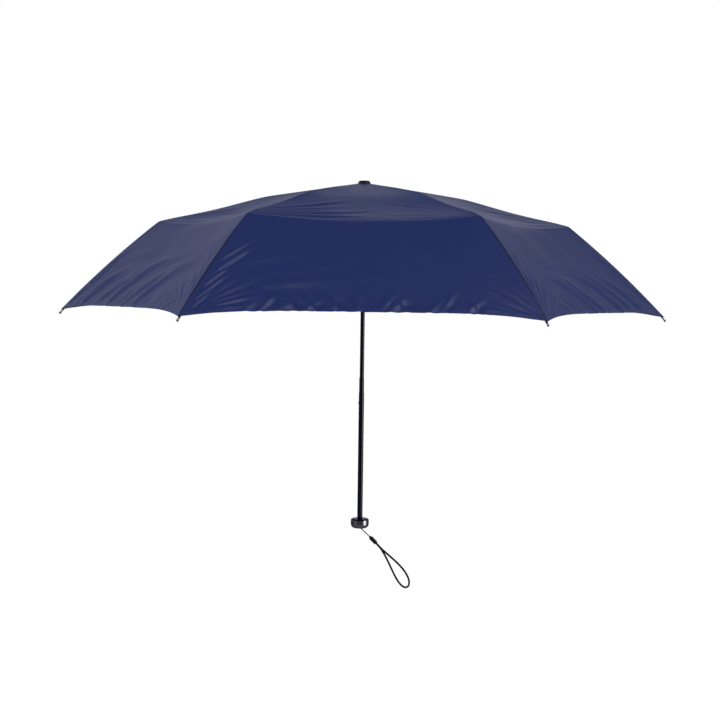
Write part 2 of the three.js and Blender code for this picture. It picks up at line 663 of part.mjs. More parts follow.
// a point of the cover: panel k, w down it, and s from -1 at one rib to 1 at the next
function coverPoint(k, w, s, drop) {
  const zone = Math.min(Math.floor(w), 2);
  const from = COVER_LINE[zone];
  const to = COVER_LINE[zone + 1];
  const hang = 1 - s * s;
  const lower = Math.max(w - 2, 0);
  const hemCut = zone === 2 ? (HEM_CUT / spacing(KNEE_2, TIP)) * (1 - Math.abs(s) ** HEM_CURVE) : 0;
  const share = (w - zone) * (1 - hemCut);
  const dip = KNEE_DIP * hang * (w <= 2 ? (w / 2) ** 3 : (1 - lower) ** 2);
  const bow = polar(bowAt(lower) * (1 - hang / 2), slopeOf(KNEE_2, TIP) + 90);
  const r = from.r + (to.r - from.r) * share + bow.r;
  const z = from.z + (to.z - from.z) * share + bow.z - dip - drop;
  const half = rad(RIB_STEP / 2);
  const chord = r * Math.cos(half);
  const middle = rad(RIB_STEP * k) + half;
  const side = r * Math.sin(half) * s;
  return new THREE.Vector3(
    chord * Math.cos(middle) - side * Math.sin(middle),
    chord * Math.sin(middle) + side * Math.cos(middle),
    z,
  );
}

function canopy() {
  const perPanel = COLUMN_PLACES.length;
  const columns = RIBS * perPanel;
  const positions = [];
  for (const drop of [0, CLOTH]) {
    for (const w of COVER_ROWS) {
      for (let c = 0; c < columns; c++) {
        const s = COLUMN_PLACES[c % perPanel];
        positions.push(...coverPoint(Math.floor(c / perPanel), w, s, drop).toArray());
      }
    }
  }
  const rows = COVER_ROWS.length;
  const at = (layer, row, c) => (layer * rows + row) * columns + (c % columns);
  const index = [];
  const quad = (a, b, c, d) => index.push(a, b, c, a, c, d);
  for (let c = 0; c < columns; c++) {
    for (let row = 0; row < rows - 1; row++) {
      quad(at(0, row, c), at(0, row + 1, c), at(0, row + 1, c + 1), at(0, row, c + 1));
      quad(at(1, row, c), at(1, row, c + 1), at(1, row + 1, c + 1), at(1, row + 1, c));
    }
    quad(at(0, 0, c), at(0, 0, c + 1), at(1, 0, c + 1), at(1, 0, c));
    quad(at(0, rows - 1, c), at(1, rows - 1, c), at(1, rows - 1, c + 1), at(0, rows - 1, c + 1));
  }
  const geometry = new THREE.BufferGeometry();
  geometry.setAttribute('position', new THREE.Float32BufferAttribute(positions, 3));
  geometry.setIndex(index);
  return geometry;
}

// the closing strap, lying down the middle of the back panel with its root at the hem
function closureStrap() {
  const low = coverPoint(STRAP.panel, STRAP.low, 0, 0);
  const high = coverPoint(STRAP.panel, STRAP.high, 0, 0);
  const slope = slopeOf({ r: high.y, z: high.z }, { r: low.y, z: low.z });
  const strap = new THREE.BoxGeometry(STRAP.length, STRAP.width, STRAP.thickness);
  const centre = low.clone().lerp(high, 0.5);
  return strap
    .translate(0, 0, STRAP.thickness / 2 + STRAP.lift)
    .rotateY(-rad(slope))
    .rotateZ(Math.PI / 2)
    .translate(centre.x, centre.y, centre.z);
}

// ---------- assembly ----------
const umbrella = new THREE.Group();

function add(parent, name, geometry, material) {
  const mesh = new THREE.Mesh(geometry, material);
  mesh.name = name;
  parent.add(mesh);
}

add(umbrella, 'handle_shell', handleShell(), GUNMETAL);
add(umbrella, 'handle_core', handleCore(), BLACK_PLASTIC);
add(umbrella, 'handle_collar', handleCollar(), DARK_METAL);
add(umbrella, 'lanyard_string', lanyardString(), CORD);
add(umbrella, 'lanyard_bead', lanyardBead(), BLACK_PLASTIC);
add(umbrella, 'lanyard_loop', lanyardLoop(), CORD);
add(umbrella, 'shaft_lower', shaftLower(), BLACK_TUBE);
add(umbrella, 'shaft_middle', shaftMiddle(), BLACK_TUBE);
add(umbrella, 'shaft_upper', shaftUpper(), BLACK_TUBE);
add(umbrella, 'lock_button_lower', lockButton(LOWER_LOCK), STEEL);
add(umbrella, 'lock_button_upper', lockButton(UPPER_LOCK), STEEL);
add(umbrella, 'runner', runner(), BLACK_PLASTIC);
add(umbrella, 'runner_button', runnerButton(), BLACK_PLASTIC);
add(umbrella, 'crown', crown(), BLACK_PLASTIC);
add(umbrella, 'crown_wire', crownWire(), STEEL);
add(umbrella, 'ferrule_cap', ferruleCap(), DARK_METAL);
add(umbrella, 'canopy', canopy(), NAVY_CLOTH);
add(umbrella, 'closure_strap', closureStrap(), NAVY_CLOTH);

const ribPieces = [
  ['rib_inner', ribInner(), BLACK_STEEL],
  ['rib_middle', ribMiddle(), BLACK_STEEL],
  ['rib_outer', ribOuter(), BLACK_STEEL],
  ['rib_tip', ribTip(), STEEL],
  ['stretcher', stretcher(), BLACK_STEEL],
  ['link_bar', linkBar(), BLACK_STEEL],
  ['control_wire', controlWire(), STEEL],
];
for (let k = 0; k < RIBS; k++) {
  const spoke = new THREE.Group();
  spoke.rotation.z = rad(RIB_STEP * k);
  for (const [name, geometry, material] of ribPieces) {
    add(spoke, `${name}_${k + 1}`, geometry, material);
  }
  umbrella.add(spoke);
}

export default umbrella;
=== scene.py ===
"""Looks of the folding umbrella: cover, seams, shaft, handle, lanyard, materials, floor, light, camera.

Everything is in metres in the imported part's own frame: +Z up the shaft, the origin at the centre of the
handle's flat underside, rib k at azimuth 60 * k degrees from +X. The camera looks along +Y.
"""

import json
import math

import bpy
import numpy as np
from mathutils import Matrix, Vector

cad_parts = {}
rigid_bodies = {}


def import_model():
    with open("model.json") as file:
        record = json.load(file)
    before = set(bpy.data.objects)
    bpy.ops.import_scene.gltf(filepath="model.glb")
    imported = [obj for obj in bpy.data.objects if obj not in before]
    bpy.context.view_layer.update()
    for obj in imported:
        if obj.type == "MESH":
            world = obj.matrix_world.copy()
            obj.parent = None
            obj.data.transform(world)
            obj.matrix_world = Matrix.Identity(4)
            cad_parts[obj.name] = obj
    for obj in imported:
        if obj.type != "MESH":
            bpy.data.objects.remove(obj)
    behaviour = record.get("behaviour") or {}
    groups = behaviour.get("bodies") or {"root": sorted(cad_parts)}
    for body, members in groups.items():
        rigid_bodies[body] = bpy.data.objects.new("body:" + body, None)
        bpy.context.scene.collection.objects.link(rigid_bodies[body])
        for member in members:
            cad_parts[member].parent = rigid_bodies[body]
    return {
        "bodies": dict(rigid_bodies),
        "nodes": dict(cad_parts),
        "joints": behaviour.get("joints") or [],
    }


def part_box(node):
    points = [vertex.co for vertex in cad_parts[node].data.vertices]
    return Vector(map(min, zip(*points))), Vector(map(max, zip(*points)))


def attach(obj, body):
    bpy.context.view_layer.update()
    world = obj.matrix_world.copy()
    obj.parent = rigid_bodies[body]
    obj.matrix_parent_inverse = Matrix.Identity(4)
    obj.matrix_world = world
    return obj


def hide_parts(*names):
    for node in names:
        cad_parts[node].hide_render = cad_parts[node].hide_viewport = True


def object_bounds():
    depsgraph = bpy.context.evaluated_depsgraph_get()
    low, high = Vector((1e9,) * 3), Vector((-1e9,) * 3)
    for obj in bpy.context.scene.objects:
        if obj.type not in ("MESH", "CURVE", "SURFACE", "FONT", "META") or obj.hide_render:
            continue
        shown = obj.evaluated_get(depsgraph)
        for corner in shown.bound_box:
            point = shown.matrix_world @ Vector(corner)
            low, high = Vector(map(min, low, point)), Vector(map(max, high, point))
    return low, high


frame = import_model()
cad_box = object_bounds()

MM = 0.001
RIBS = 6
STEP = 2 * math.pi / RIBS
JOINTS = {j["name"]: j for j in frame["joints"]}


# ---------- places taken from the frame ----------
def joint_at(name):
    """(distance from the shaft, height) of a rib joint, in the plane of its rib."""
    x, y, z = JOINTS[name]["pos_m"]
    return np.array([math.hypot(x, y), z])


CROWN_HINGE = joint_at("rib_inner_1_fold")
KNEE_1 = joint_at("rib_middle_1_fold")
KNEE_2 = joint_at("rib_outer_1_fold")
COVER_LOW, COVER_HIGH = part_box("canopy")
RUNNER_TRAVEL = -JOINTS["runner_slide"]["range_m"][0]

# the cover's outer line over a rib: apex, over the two knees, tip
RIB_LINE = np.array([
    [4.6 * MM, COVER_HIGH.z + 0.2 * MM],
    [KNEE_1[0], KNEE_1[1] + 2.35 * MM],
    [KNEE_2[0] + 0.8 * MM, KNEE_2[1] + 5.95 * MM],
    [COVER_HIGH.x, COVER_LOW.z + 0.7 * MM],
])
CLOTH = 0.35 * MM
RIB_BOW = 3.5 * MM      # the outer ribs bend outwards by this much
HEM_CUT = 12.0 * MM     # the hem curves in between two tips
RIB_SAG = 1.8 * MM      # the middle ribs give way under the cover's pull
KNEE_DIP = 7.8 * MM     # the cover dips between two knees


# ---------- mesh helpers ----------
def new_mesh(name, points, faces, material, sharp=None):
    """A smooth-shaded object; edges bent by more than sharp degrees stay crisp."""
    mesh = bpy.data.meshes.new(name)
    mesh.from_pydata([tuple(p) for p in points], [], faces)
    mesh.polygons.foreach_set("use_smooth", [True] * len(mesh.polygons))
    if sharp is not None:
        mesh.set_sharp_from_angle(angle=math.radians(sharp))
    mesh.materials.append(material)
    mesh.update()
    thing = bpy.data.objects.new(name, mesh)
    bpy.context.scene.collection.objects.link(thing)
    return thing


def turned(name, profile, material, segments=96, sharp=28):
    """A body of revolution about +Z from (r, z) points in metres, listed so that the outside is on
    the right of the way along. It starts and ends on the axis, or it ends where it starts."""
    points, faces, rings = [], [], []
    closed = profile[0] == profile[-1]
    for r, z in profile[:-1] if closed else profile:
        first = len(points)
        count = 1 if r < 1e-7 else segments
        for i in range(count):
            a = 2 * math.pi * i / segments
            points.append((r * math.cos(a), r * math.sin(a), z))
        rings.append(list(range(first, first + count)))
    if closed:
        rings.append(rings[0])
    for low, high in zip(rings, rings[1:]):
        for i in range(segments):
            j = i + 1
            corners = [low[i % len(low)], low[j % len(low)], high[j % len(high)], high[i % len(high)]]
            face = list(dict.fromkeys(corners))
            if len(face) > 2:
                faces.append(face)
    return new_mesh(name, points, faces, material, sharp=sharp)


def rounded(corners, radius, steps=4):
    """A profile of (r, z) points with its inner corners rounded by a radius."""
    out = [corners[0]]
    for before, here, after in zip(corners, corners[1:], corners[2:]):
        p, q, s = (np.array(c, float) for c in (before, here, after))
        a, b = p - q, s - q
        reach = min(radius, 0.45 * np.linalg.norm(a), 0.45 * np.linalg.norm(b))
        start, end = q + a / np.linalg.norm(a) * reach, q + b / np.linalg.norm(b) * reach
        for i in range(steps + 1):
            t = i / steps
            out.append(tuple((1 - t) ** 2 * start + 2 * t * (1 - t) * q + t * t * end))
    out.append(corners[-1])
    return out


def swept(name, path, radii, material, sides=14):
    """A round cord along a path of points, with a radius for each point and closed ends."""
    path = [Vector(p) for p in path]
    points, faces = [], []
    normal = Vector((0, 1, 0))
    for i, p in enumerate(path):
        ahead = (path[min(i + 1, len(path) - 1)] - path[max(i - 1, 0)]).normalized()
        normal = (normal - ahead * normal.dot(ahead)).normalized()
        side = ahead.cross(normal)
        for n in range(sides):
            a = 2 * math.pi * n / sides
            points.append(p + (normal * math.cos(a) + side * math.sin(a)) * radii[i])
    for i in range(len(path) - 1):
        for n in range(sides):
            m = (n + 1) % sides
            faces.append([i * sides + n, i * sides + m, (i + 1) * sides + m, (i + 1) * sides + n])
    faces.append(list(range(sides))[::-1])
    faces.append([(len(path) - 1) * sides + n for n in range(sides)])
    return new_mesh(name, points, faces, material, sharp=50)


def facing(at, direction):
    """The matrix that puts a turned piece at a point, with its axis along a direction."""
    return Matrix.Translation(at) @ Vector(direction).to_track_quat("Z", "Y").to_matrix().to_4x4()


def stands_for(piece, body, node):
    """The drawn piece rides on a body in place of a CAD node, which is hidden."""
    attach(piece, body)
    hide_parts(node)


# ---------- materials ----------
class Nodes:
    """A node tree that is built one node at a time."""

    def __init__(self, tree):
        self.tree = tree

    def node(self, kind, settings=None, **inputs):
        """A new node with its settings and its inputs."""
        made = self.tree.nodes.new(kind)
        for key, value in (settings or {}).items():
            setattr(made, key, value)
        for key, value in inputs.items():
            self.put(made.inputs[key.replace("_", " ")], value)
        return made

    def put(self, socket, value):
        """Link a socket to another one, or give it a plain value."""
        if isinstance(value, bpy.types.NodeSocket):
            self.tree.links.new(value, socket)
        else:
            socket.default_value = value

    def math(self, operation, a, b=0.0):
        made = self.node("ShaderNodeMath", {"operation": operation})
        self.put(made.inputs[0], a)
        self.put(made.inputs[1], b)
        return made.outputs[0]


class Shader(Nodes):
    """A node material with a Principled surface."""

    def __init__(self, name, **values):
        self.material = bpy.data.materials.new(name)
        self.material.use_nodes = True
        super().__init__(self.material.node_tree)
        self.surface = self.tree.nodes["Principled BSDF"]
        self.set(**values)

    def set(self, **inputs):
        """Inputs of the surface itself."""
        for key, value in inputs.items():
            self.put(self.surface.inputs[key.replace("_", " ")], value)

    def coords(self, scale=(1, 1, 1)):
        """Places on the piece in metres, stretched by a scale."""
        place = self.node("ShaderNodeTexCoord").outputs["Object"]
        mapping = self.node("ShaderNodeMapping", Vector=place)
        mapping.inputs["Scale"].default_value = scale
        return mapping.outputs[0]

    def noise(self, vector, scale, detail=3.0, roughness=0.5):
        return self.node("ShaderNodeTexNoise", Vector=vector, Scale=scale, Detail=detail,
                         Roughness=roughness).outputs[0]

    def ramp(self, value, stops):
        """Colours at places from 0 to 1."""
        made = self.node("ShaderNodeValToRGB", Fac=value)
        elements = made.color_ramp.elements
        while len(elements) < len(stops):
            elements.new(0.5)
        for element, (place, colour) in zip(elements, stops):
            element.position = place
            element.color = (*colour, 1)
        return made.outputs[0]

    def between(self, value, low, high):
        """value 0..1 becomes low..high."""
        return self.node("ShaderNodeMapRange", Value=value, To_Min=low, To_Max=high).outputs[0]

    def mix(self, factor, a, b):
        made = self.node("ShaderNodeMix", {"data_type": "RGBA"})
        self.put(made.inputs[0], factor)
        self.put(made.inputs[6], a)
        self.put(made.inputs[7], b)
        return made.outputs[2]

    def bump(self, height, distance, strength=1.0, under=None):
        made = self.node("ShaderNodeBump", Height=height, Distance=distance, Strength=strength)
        if under is not None:
            self.put(made.inputs["Normal"], under)
        return made.outputs[0]

    def attribute(self, name):
        return self.node("ShaderNodeAttribute", {"attribute_name": name}).outputs["Fac"]


NAVY = (0.0165, 0.0360, 0.1750, 1)
NAVY_DEEP = (0.0155, 0.0310, 0.1550, 1)
# dark thread of the stitches; it is also the painted shade in the seams' creases
THREAD_AND_SEAM_SHADE = (0.004, 0.005, 0.012, 1)


def cloth_material(name, inside=False):
    """Navy coated nylon taffeta: fine plain weave, soft sheen, seams darkened by their stitching and by
    painted shade of their creases, and a stitched hem.
    """
    s = Shader(name, Metallic=0.0)
    uv = s.node("ShaderNodeUVMap", {"uv_map": "cloth"}).outputs[0]
    seam = s.attribute("seam_mm")
    hem = s.attribute("hem_mm")
    # slow change of colour, and faint slubs along the threads
    patches = s.noise(uv, 0.012, 3.0)
    slubs = s.node("ShaderNodeMapping", Vector=uv)
    slubs.inputs["Scale"].default_value = (1.0, 0.03, 1.0)
    slub = s.noise(slubs.outputs[0], 0.9, 4.0, 0.7)
    base = s.mix(patches, NAVY_DEEP, NAVY)
    base = s.mix(s.between(slub, 0.0, 0.16), base, (0.032, 0.052, 0.200, 1))
    # the seam allowance over each rib, and the turned hem, are two layers thick; the line over each rib is
    # painted dark, for its stitching and as painted shade of the seam's crease, and the hem's stitched
    # line gets dashes of thread
    seam_stitch_and_shade = s.math("LESS_THAN", seam, 0.5)
    hem_line = s.math("COMPARE", hem, 8.0)
    hem_line.node.inputs[2].default_value = 0.35
    stitch = s.node("ShaderNodeTexWave", {"wave_type": "BANDS", "bands_direction": "X"},
                    Vector=uv, Scale=0.33)
    dashes = s.math("GREATER_THAN", stitch.outputs["Fac"], 0.35)
    stitches = s.math("MULTIPLY", s.math("MULTIPLY", hem_line, dashes), 0.45)
    base = s.mix(s.math("MAXIMUM", s.math("MULTIPLY", seam_stitch_and_shade, 0.9), stitches), base, THREAD_AND_SEAM_SHADE)
    # weave
    warp = s.node("ShaderNodeTexWave", {"bands_direction": "X"}, Vector=uv, Scale=1.1)
    weft = s.node("ShaderNodeTexWave", {"bands_direction": "Y"}, Vector=uv, Scale=1.1)
    weave = s.math("MULTIPLY", warp.outputs["Fac"], weft.outputs["Fac"])
    crinkle = s.noise(uv, 0.22, 4.0, 0.55)
    normal = s.bump(crinkle, 0.35 * MM, 0.35)
    normal = s.bump(weave, 0.03 * MM, 0.25, under=normal)
    rough = s.between(crinkle, 0.33, 0.43)
    if inside:
        base = s.mix(0.5, base, (0.010, 0.013, 0.045, 1))
        rough = s.between(crinkle, 0.55, 0.68)
    s.set(Base_Color=base, Roughness=rough, Normal=normal, Specular_IOR_Level=0.45)
    return s.material


def drawn_metal(name, colour, roughness, grain=(900.0, 900.0, 12.0), contrast=0.10):
    """Metal with fine lines along one direction, faint smudges and a slightly uneven polish."""
    s = Shader(name, Metallic=1.0)
    lines = s.noise(s.coords(grain), 1.0, 4.0, 0.6)
    smudge = s.noise(s.coords((1, 1, 1)), 90.0, 3.0)
    tone = s.mix(lines, tuple(c * (1 - contrast) for c in colour[:3]) + (1,), colour)
    rough = s.math("ADD", s.between(lines, roughness - 0.03, roughness + 0.03),
                   s.between(smudge, -0.03, 0.04))
    s.set(Base_Color=tone, Roughness=rough, Normal=s.bump(lines, 0.004 * MM, 0.4))
    return s.material


def black_lacquer(name, colour):
    """Glossy black lacquer on a drawn tube: faint lines along it, and dull towards its outline."""
    s = Shader(name, Metallic=0.0)
    lines = s.noise(s.coords((900.0, 900.0, 12.0)), 1.0, 4.0, 0.6)
    smudge = s.noise(s.coords(), 90.0, 3.0)
    facing = s.node("ShaderNodeLayerWeight").outputs["Facing"]
    dulled = s.ramp(facing, [(0.50, (0.5, 0.5, 0.5)), (0.85, (0.2, 0.2, 0.2))])
    s.set(Base_Color=s.mix(lines, tuple(0.6 * c for c in colour[:3]) + (1,), colour),
          Roughness=s.between(smudge, 0.11, 0.17), Specular_IOR_Level=dulled,
          Normal=s.bump(lines, 0.004 * MM, 0.4))
    return s.material


def painted_steel(name, colour, worn=0.70):
    """Black stoving paint on pressed steel, with a few specks of bare metal; worn nearer 1 is fewer."""
    s = Shader(name, Metallic=0.0)
    place = s.coords()
    fine = s.noise(place, 2600.0, 2.0)
    wear = s.noise(place, 320.0, 6.0, 0.75)
    bare = s.ramp(wear, [(worn - 0.04, (0, 0, 0)), (worn + 0.04, (1, 1, 1))])
    s.set(Base_Color=s.mix(bare, colour, (0.12, 0.12, 0.13, 1)), Metallic=s.math("MULTIPLY", bare, 0.8),
          Roughness=s.between(fine, 0.30, 0.46), Normal=s.bump(fine, 0.02 * MM, 0.3))
    return s.material


def moulded_plastic(name, colour, grain=1500.0):
    """Matt moulded plastic with a fine spark-eroded grain."""
    s = Shader(name, Metallic=0.0)
    cells = s.node("ShaderNodeTexVoronoi", Vector=s.coords(), Scale=grain).outputs["Distance"]
    cloudy = s.noise(s.coords(), 140.0, 3.0)
    s.set(Base_Color=s.mix(cloudy, colour, tuple(c * 1.5 for c in colour[:3]) + (1,)),
          Roughness=s.between(cloudy, 0.42, 0.58), Specular_IOR_Level=0.30,
          Normal=s.bump(cells, 0.04 * MM, 0.5))
    return s.material


def braided_cord(name, colour, pitch):
    """Round braided cord: two sets of strands that cross, read from the cord's own uv."""
    s = Shader(name, Metallic=0.0)
    uv = s.node("ShaderNodeUVMap", {"uv_map": "cord"}).outputs[0]
    height = None
    for slope in (1.0, -1.0):
        turn = s.node("ShaderNodeMapping", Vector=uv)
        turn.inputs["Rotation"].default_value = (0, 0, slope * math.radians(38))
        bands = s.node("ShaderNodeTexWave", {"bands_direction": "X"}, Vector=turn.outputs[0],
                       Scale=pitch).outputs["Fac"]
        height = bands if height is None else s.math("MAXIMUM", height, bands)
    fibres = s.noise(uv, pitch * 9, 3.0)
    # the colour is darker where the braid is low: painted shade in the grooves between the strands
    s.set(Base_Color=s.mix(height, tuple(c * 0.4 for c in colour[:3]) + (1,), colour),
          Roughness=s.between(fibres, 0.55, 0.8), Specular_IOR_Level=0.15,
          Normal=s.bump(height, 0.16 * MM, 0.8))
    return s.material


COVER_OUT = cloth_material("cover_outside")
COVER_IN = cloth_material("cover_inside", inside=True)
TUBE = black_lacquer("black_tube", (0.004, 0.006, 0.036, 1))
GUNMETAL = drawn_metal("gunmetal", (0.42, 0.385, 0.46, 1), 0.20, grain=(14.0, 14.0, 1400.0))
DARK_METAL = drawn_metal("black_nickel", (0.035, 0.038, 0.06, 1), 0.22, grain=(14.0, 14.0, 1400.0))
BRIGHT = drawn_metal("bright_steel", (0.40, 0.38, 0.40, 1), 0.24, grain=(60.0, 60.0, 60.0))
RIB_PAINT = painted_steel("rib_paint", (0.012, 0.012, 0.014, 1))
PLASTIC = moulded_plastic("black_plastic", (0.005, 0.005, 0.009, 1))
CAP_PAINT = painted_steel("cap_paint", (0.006, 0.006, 0.008, 1), worn=0.80)
CORD = braided_cord("black_cord", (0.0010, 0.0010, 0.0065, 1), 0.9)


# ---------- cover: shape ----------
SEAM_OFFSETS = [0.0, 0.7, 1.5, 2.6, 4.2]       # mm from a rib to the columns beside it
INNER_COLUMNS = 150
CROWDING = 1.1                                 # how much closer the columns stand near the ribs
HEM_OFFSETS = [0.0, 0.6, 3.5, 7.2, 8.0, 8.8]   # mm from the hem to the last rows
ROWS = (44, 88, 126)                           # rows of the three zones between the knees
ZONE_3 = 190.0                                 # mm from the second knee to the hem


def row_places():
    """w of each row: 0 at the apex hole, 1 and 2 at the knees, 3 at the hem."""
    zones = [i + np.arange(n) / n for i, n in enumerate(ROWS)]
    hem = 3.0 - np.array(HEM_OFFSETS[::-1]) / ZONE_3
    rows = np.concatenate(zones)
    return np.concatenate([rows[rows < hem[0] - 0.01], hem])


def column_places(half):
    """s of each column from -1 up to, not including, 1, where half is half the panel's width in mm."""
    room = min(1.0, half / 14.0)
    edge = np.array(SEAM_OFFSETS) * room / half
    even = np.linspace(-CROWDING, CROWDING, INNER_COLUMNS)
    inner = (1 - edge[-1]) * np.sin(even) / math.sin(CROWDING)
    return np.concatenate([-1 + edge[:-1], inner, (1 - edge[1:-1])[::-1]])


def smooth_step(x):
    """0 up to 1 with level ends."""
    x = np.clip(x, 0, 1)
    return x * x * (3 - 2 * x)


def eased(x, width):
    """x where positive and 0 where negative, with a rounded corner of a given width."""
    return 0.5 * (x + np.sqrt(x * x + width * width))


def cover_surface(w, s):
    """Points of a smooth panel of the cover, turned to +X, at arrays of w and s, in metres."""
    hang = 1 - s * s
    half = STEP / 2
    line = []
    for i, (r, z) in enumerate(RIB_LINE):
        dip = (0, 0.55, 1, 0)[i] * KNEE_DIP * hang
        along, across = r * math.cos(half), r * math.sin(half) * s
        line.append(np.stack([np.full_like(s, along), across, z - dip], -1))
    cut = (1 - np.abs(s) ** 5)[..., None] * HEM_CUT
    reach = line[3] - line[2]
    line[3] = line[3] - reach / np.linalg.norm(reach, axis=-1, keepdims=True) * cut
    first, second, third = line[1] - line[0], line[2] - line[1], line[3] - line[2]
    soft_1 = 0.04 + 0.10 * hang
    soft_2 = 0.006 + 0.065 * hang
    point = (line[0] + w[..., None] * first
             + eased(w - 1, soft_1)[..., None] * (second - first)
             + eased(w - 2, soft_2)[..., None] * (third - second))
    middle = np.clip(w - 1, 0, 1)
    point[..., 2] -= RIB_SAG * np.sin(np.pi * middle) ** 2
    u = np.clip(w - 2, 0, 1)
    bow = RIB_BOW * 4 * u * (1 - u) * (1 - 0.55 * hang)
    slope = math.atan2(RIB_LINE[2][1] - RIB_LINE[3][1], RIB_LINE[3][0] - RIB_LINE[2][0])
    point[..., 0] += bow * math.sin(slope)
    point[..., 2] += bow * math.cos(slope)
    return point


def streak(x, y, start, angle, length, width, height, curve=0.0):
    """One tension fold in mm: it starts at a point of the panel and runs up at an angle in degrees;
    curve is its sag as a share of its length, width its half width."""
    c, s = math.cos(math.radians(angle)), math.sin(math.radians(angle))
    a = (x - start[0]) * c - (y - start[1]) * s
    u = np.clip(a / length, 0, 1)
    b = (x - start[0]) * s + (y - start[1]) * c - 4 * curve * length * u * (1 - u)
    fade = np.sin(np.pi * u ** 0.55) ** 1.4
    wide = width * (0.6 + 0.8 * u)
    crest = np.exp(-(b / wide) ** 2)
    trough = np.exp(-((b - 1.8 * wide) / (1.3 * wide)) ** 2)
    return height * fade * (crest - 0.6 * trough)


def waves(x, y, rng, count, low, high, stretch=1.0):
    """Smooth uneven ground, about -1 to 1: count plane waves with wavelengths low to high in mm."""
    total = np.zeros_like(x)
    for _ in range(count):
        turn = rng.uniform(0, math.pi)
        length = rng.uniform(low, high)
        phase = rng.uniform(0, 2 * math.pi)
        total += np.sin(2 * math.pi * (x * math.cos(turn) + y * stretch * math.sin(turn)) / length + phase)
    return total / math.sqrt(count)


# how strongly each side of a panel is creased: (at the left rib, at the right rib), seen from outside
CREASED = {3: (0.9, 0.45), 4: (1.0, 0.25), 5: (0.5, 0.6)}
EVEN_CREASES = (0.8, 0.7)
RIDGES = (0.3, 0.5, 0.5, 0.2, 1.7, 1.7)   # height in mm of the ridge over each inner rib
SWEPT = {3: 1, 5: -1, 0: 1, 2: -1}   # panels with long sweeping folds, and the way these slant


def fan(x, y, rng, corner, angles, reach, height, spread=0.0):
    """Tension folds that spread from a corner like the sticks of a fan, at angles in degrees above
    the panel's level, and fade out at about reach mm; each next one starts spread mm further up."""
    total = np.zeros_like(x)
    for i, angle in enumerate(angles + rng.uniform(-1.5, 1.5, len(angles))):
        across = x - corner[0] - 0.45 * spread * i
        up = corner[1] - spread * i - y
        away = np.hypot(across, up)
        turn = np.arctan2(up, across) - math.radians(angle)
        bend = rng.uniform(-0.0004, 0.0004) * away
        wide = 1.3 + rng.uniform(0.020, 0.034) * away
        off = (turn - bend) * away / wide
        shape = np.exp(-off ** 2) - 0.6 * np.exp(-((off + 1.9) / 1.3) ** 2)
        end = reach * rng.uniform(0.7, 1.1)
        fade = smooth_step(away / 14) * (1 - smooth_step((away - 0.5 * end) / (0.5 * end)))
        total += height * (0.35 + 0.01 * away) * shape * fade * (np.abs(turn) < 1.2)
    return total


def rib_folds(x, y, rng, top, foot, strength):
    """Slanting folds that start one under the other along the outer rib, from top to foot."""
    height = np.zeros_like(x)
    for share in np.linspace(0.50, 0.93, 6) + rng.uniform(-0.02, 0.02, 6):
        start = (top[0] + (foot[0] - top[0]) * share + rng.uniform(4, 12),
                 top[1] + (foot[1] - top[1]) * share)
        height += streak(x, y, start, rng.uniform(38, 50), rng.uniform(48, 80), rng.uniform(1.7, 2.4),
                         rng.uniform(0.9, 1.5) * strength, rng.uniform(-0.05, 0.02))
    return height


def hem_folds(x, y, rng, half, hem_y, lean, strength):
    """Puckers of the hem; lean is the share that slant to the right."""
    height = np.zeros_like(x)
    for place in np.arange(-0.64, 0.68, 0.08):
        turn = rng.uniform(42, 70)
        turn = turn if rng.random() < lean else 180 - turn
        start = ((place + rng.uniform(-0.03, 0.03)) * half, hem_y + rng.uniform(-2, 6))
        height += streak(x, y, start, turn, rng.uniform(28, 56), rng.uniform(3.0, 5.6),
                         rng.uniform(0.6, 1.7) * strength, rng.uniform(-0.06, 0.06))
    ruffle = 0.3 * waves(x, y, rng, 5, 18, 40, 0.2)
    return height + ruffle * np.exp(-np.abs(hem_y - y) / 8)


def sweeping_folds(x, y, rng, half, hem_y, slant):
    """Long folds that rise steeply from the hem and bend over towards one rib; slant is 1 to the
    right, -1 to the left."""
    height = np.zeros_like(x)
    for place in (-0.72, -0.5, -0.3, -0.05, 0.15):
        start = (place * half + rng.uniform(-10, 10), hem_y + 6)
        height += streak(slant * x, y, start, rng.uniform(28, 40), rng.uniform(120, 190),
                         rng.uniform(5.5, 9.5), rng.uniform(1.0, 2.2), -rng.uniform(0.14, 0.24))
    return height


def loose_folds(x, y, rng, half, knee_y, hem_y):
    """Wide soft folds across the lower zone, nearly level."""
    height = np.zeros_like(x)
    for _ in range(9):
        start = (rng.uniform(-0.8, 0.1) * half, knee_y + (hem_y - knee_y) * rng.uniform(0.5, 0.9))
        height += streak(x, y, start, rng.uniform(2, 22), rng.uniform(90, 190), rng.uniform(6, 12),
                         rng.uniform(0.25, 0.55), rng.uniform(-0.05, 0.05))
    return height


def wrinkles(k, x, y, half, knee_y, hem_y):
    """Height in mm of the folds and puckers of panel k, at x across and y down the panel."""
    rng = np.random.default_rng(60 + k)
    height = 0.30 * waves(x, y, rng, 9, 60, 150)
    for side, strength in zip((-1, 1), CREASED.get(k, EVEN_CREASES)):
        mirror = x * -side
        top, foot = (-half["knee"], knee_y), (-half["hem"], hem_y)
        height += fan(mirror, y, rng, top, np.array([2, 9, 16, 23, 30, 37]), 170, 0.85 * strength, 6)
        height += fan(mirror, y, rng, top, np.array([-8, -20, 54]), 70, 0.5 * strength)
        height += rib_folds(mirror, y, rng, top, foot, strength)
        height += fan(mirror, y, rng, foot, np.linspace(8, 56, 7), 110, 0.6 + 0.3 * strength)
    lean = {3: 0.9, 5: 0.35}.get(k, 0.55)
    height += hem_folds(x, y, rng, half["hem"], hem_y, lean, 0.5 if k in SWEPT else 2.0)
    if k in SWEPT:
        height += sweeping_folds(x, y, rng, half["hem"], hem_y, SWEPT[k])
    height += loose_folds(x, y, rng, half["hem"], knee_y, hem_y)
    return height


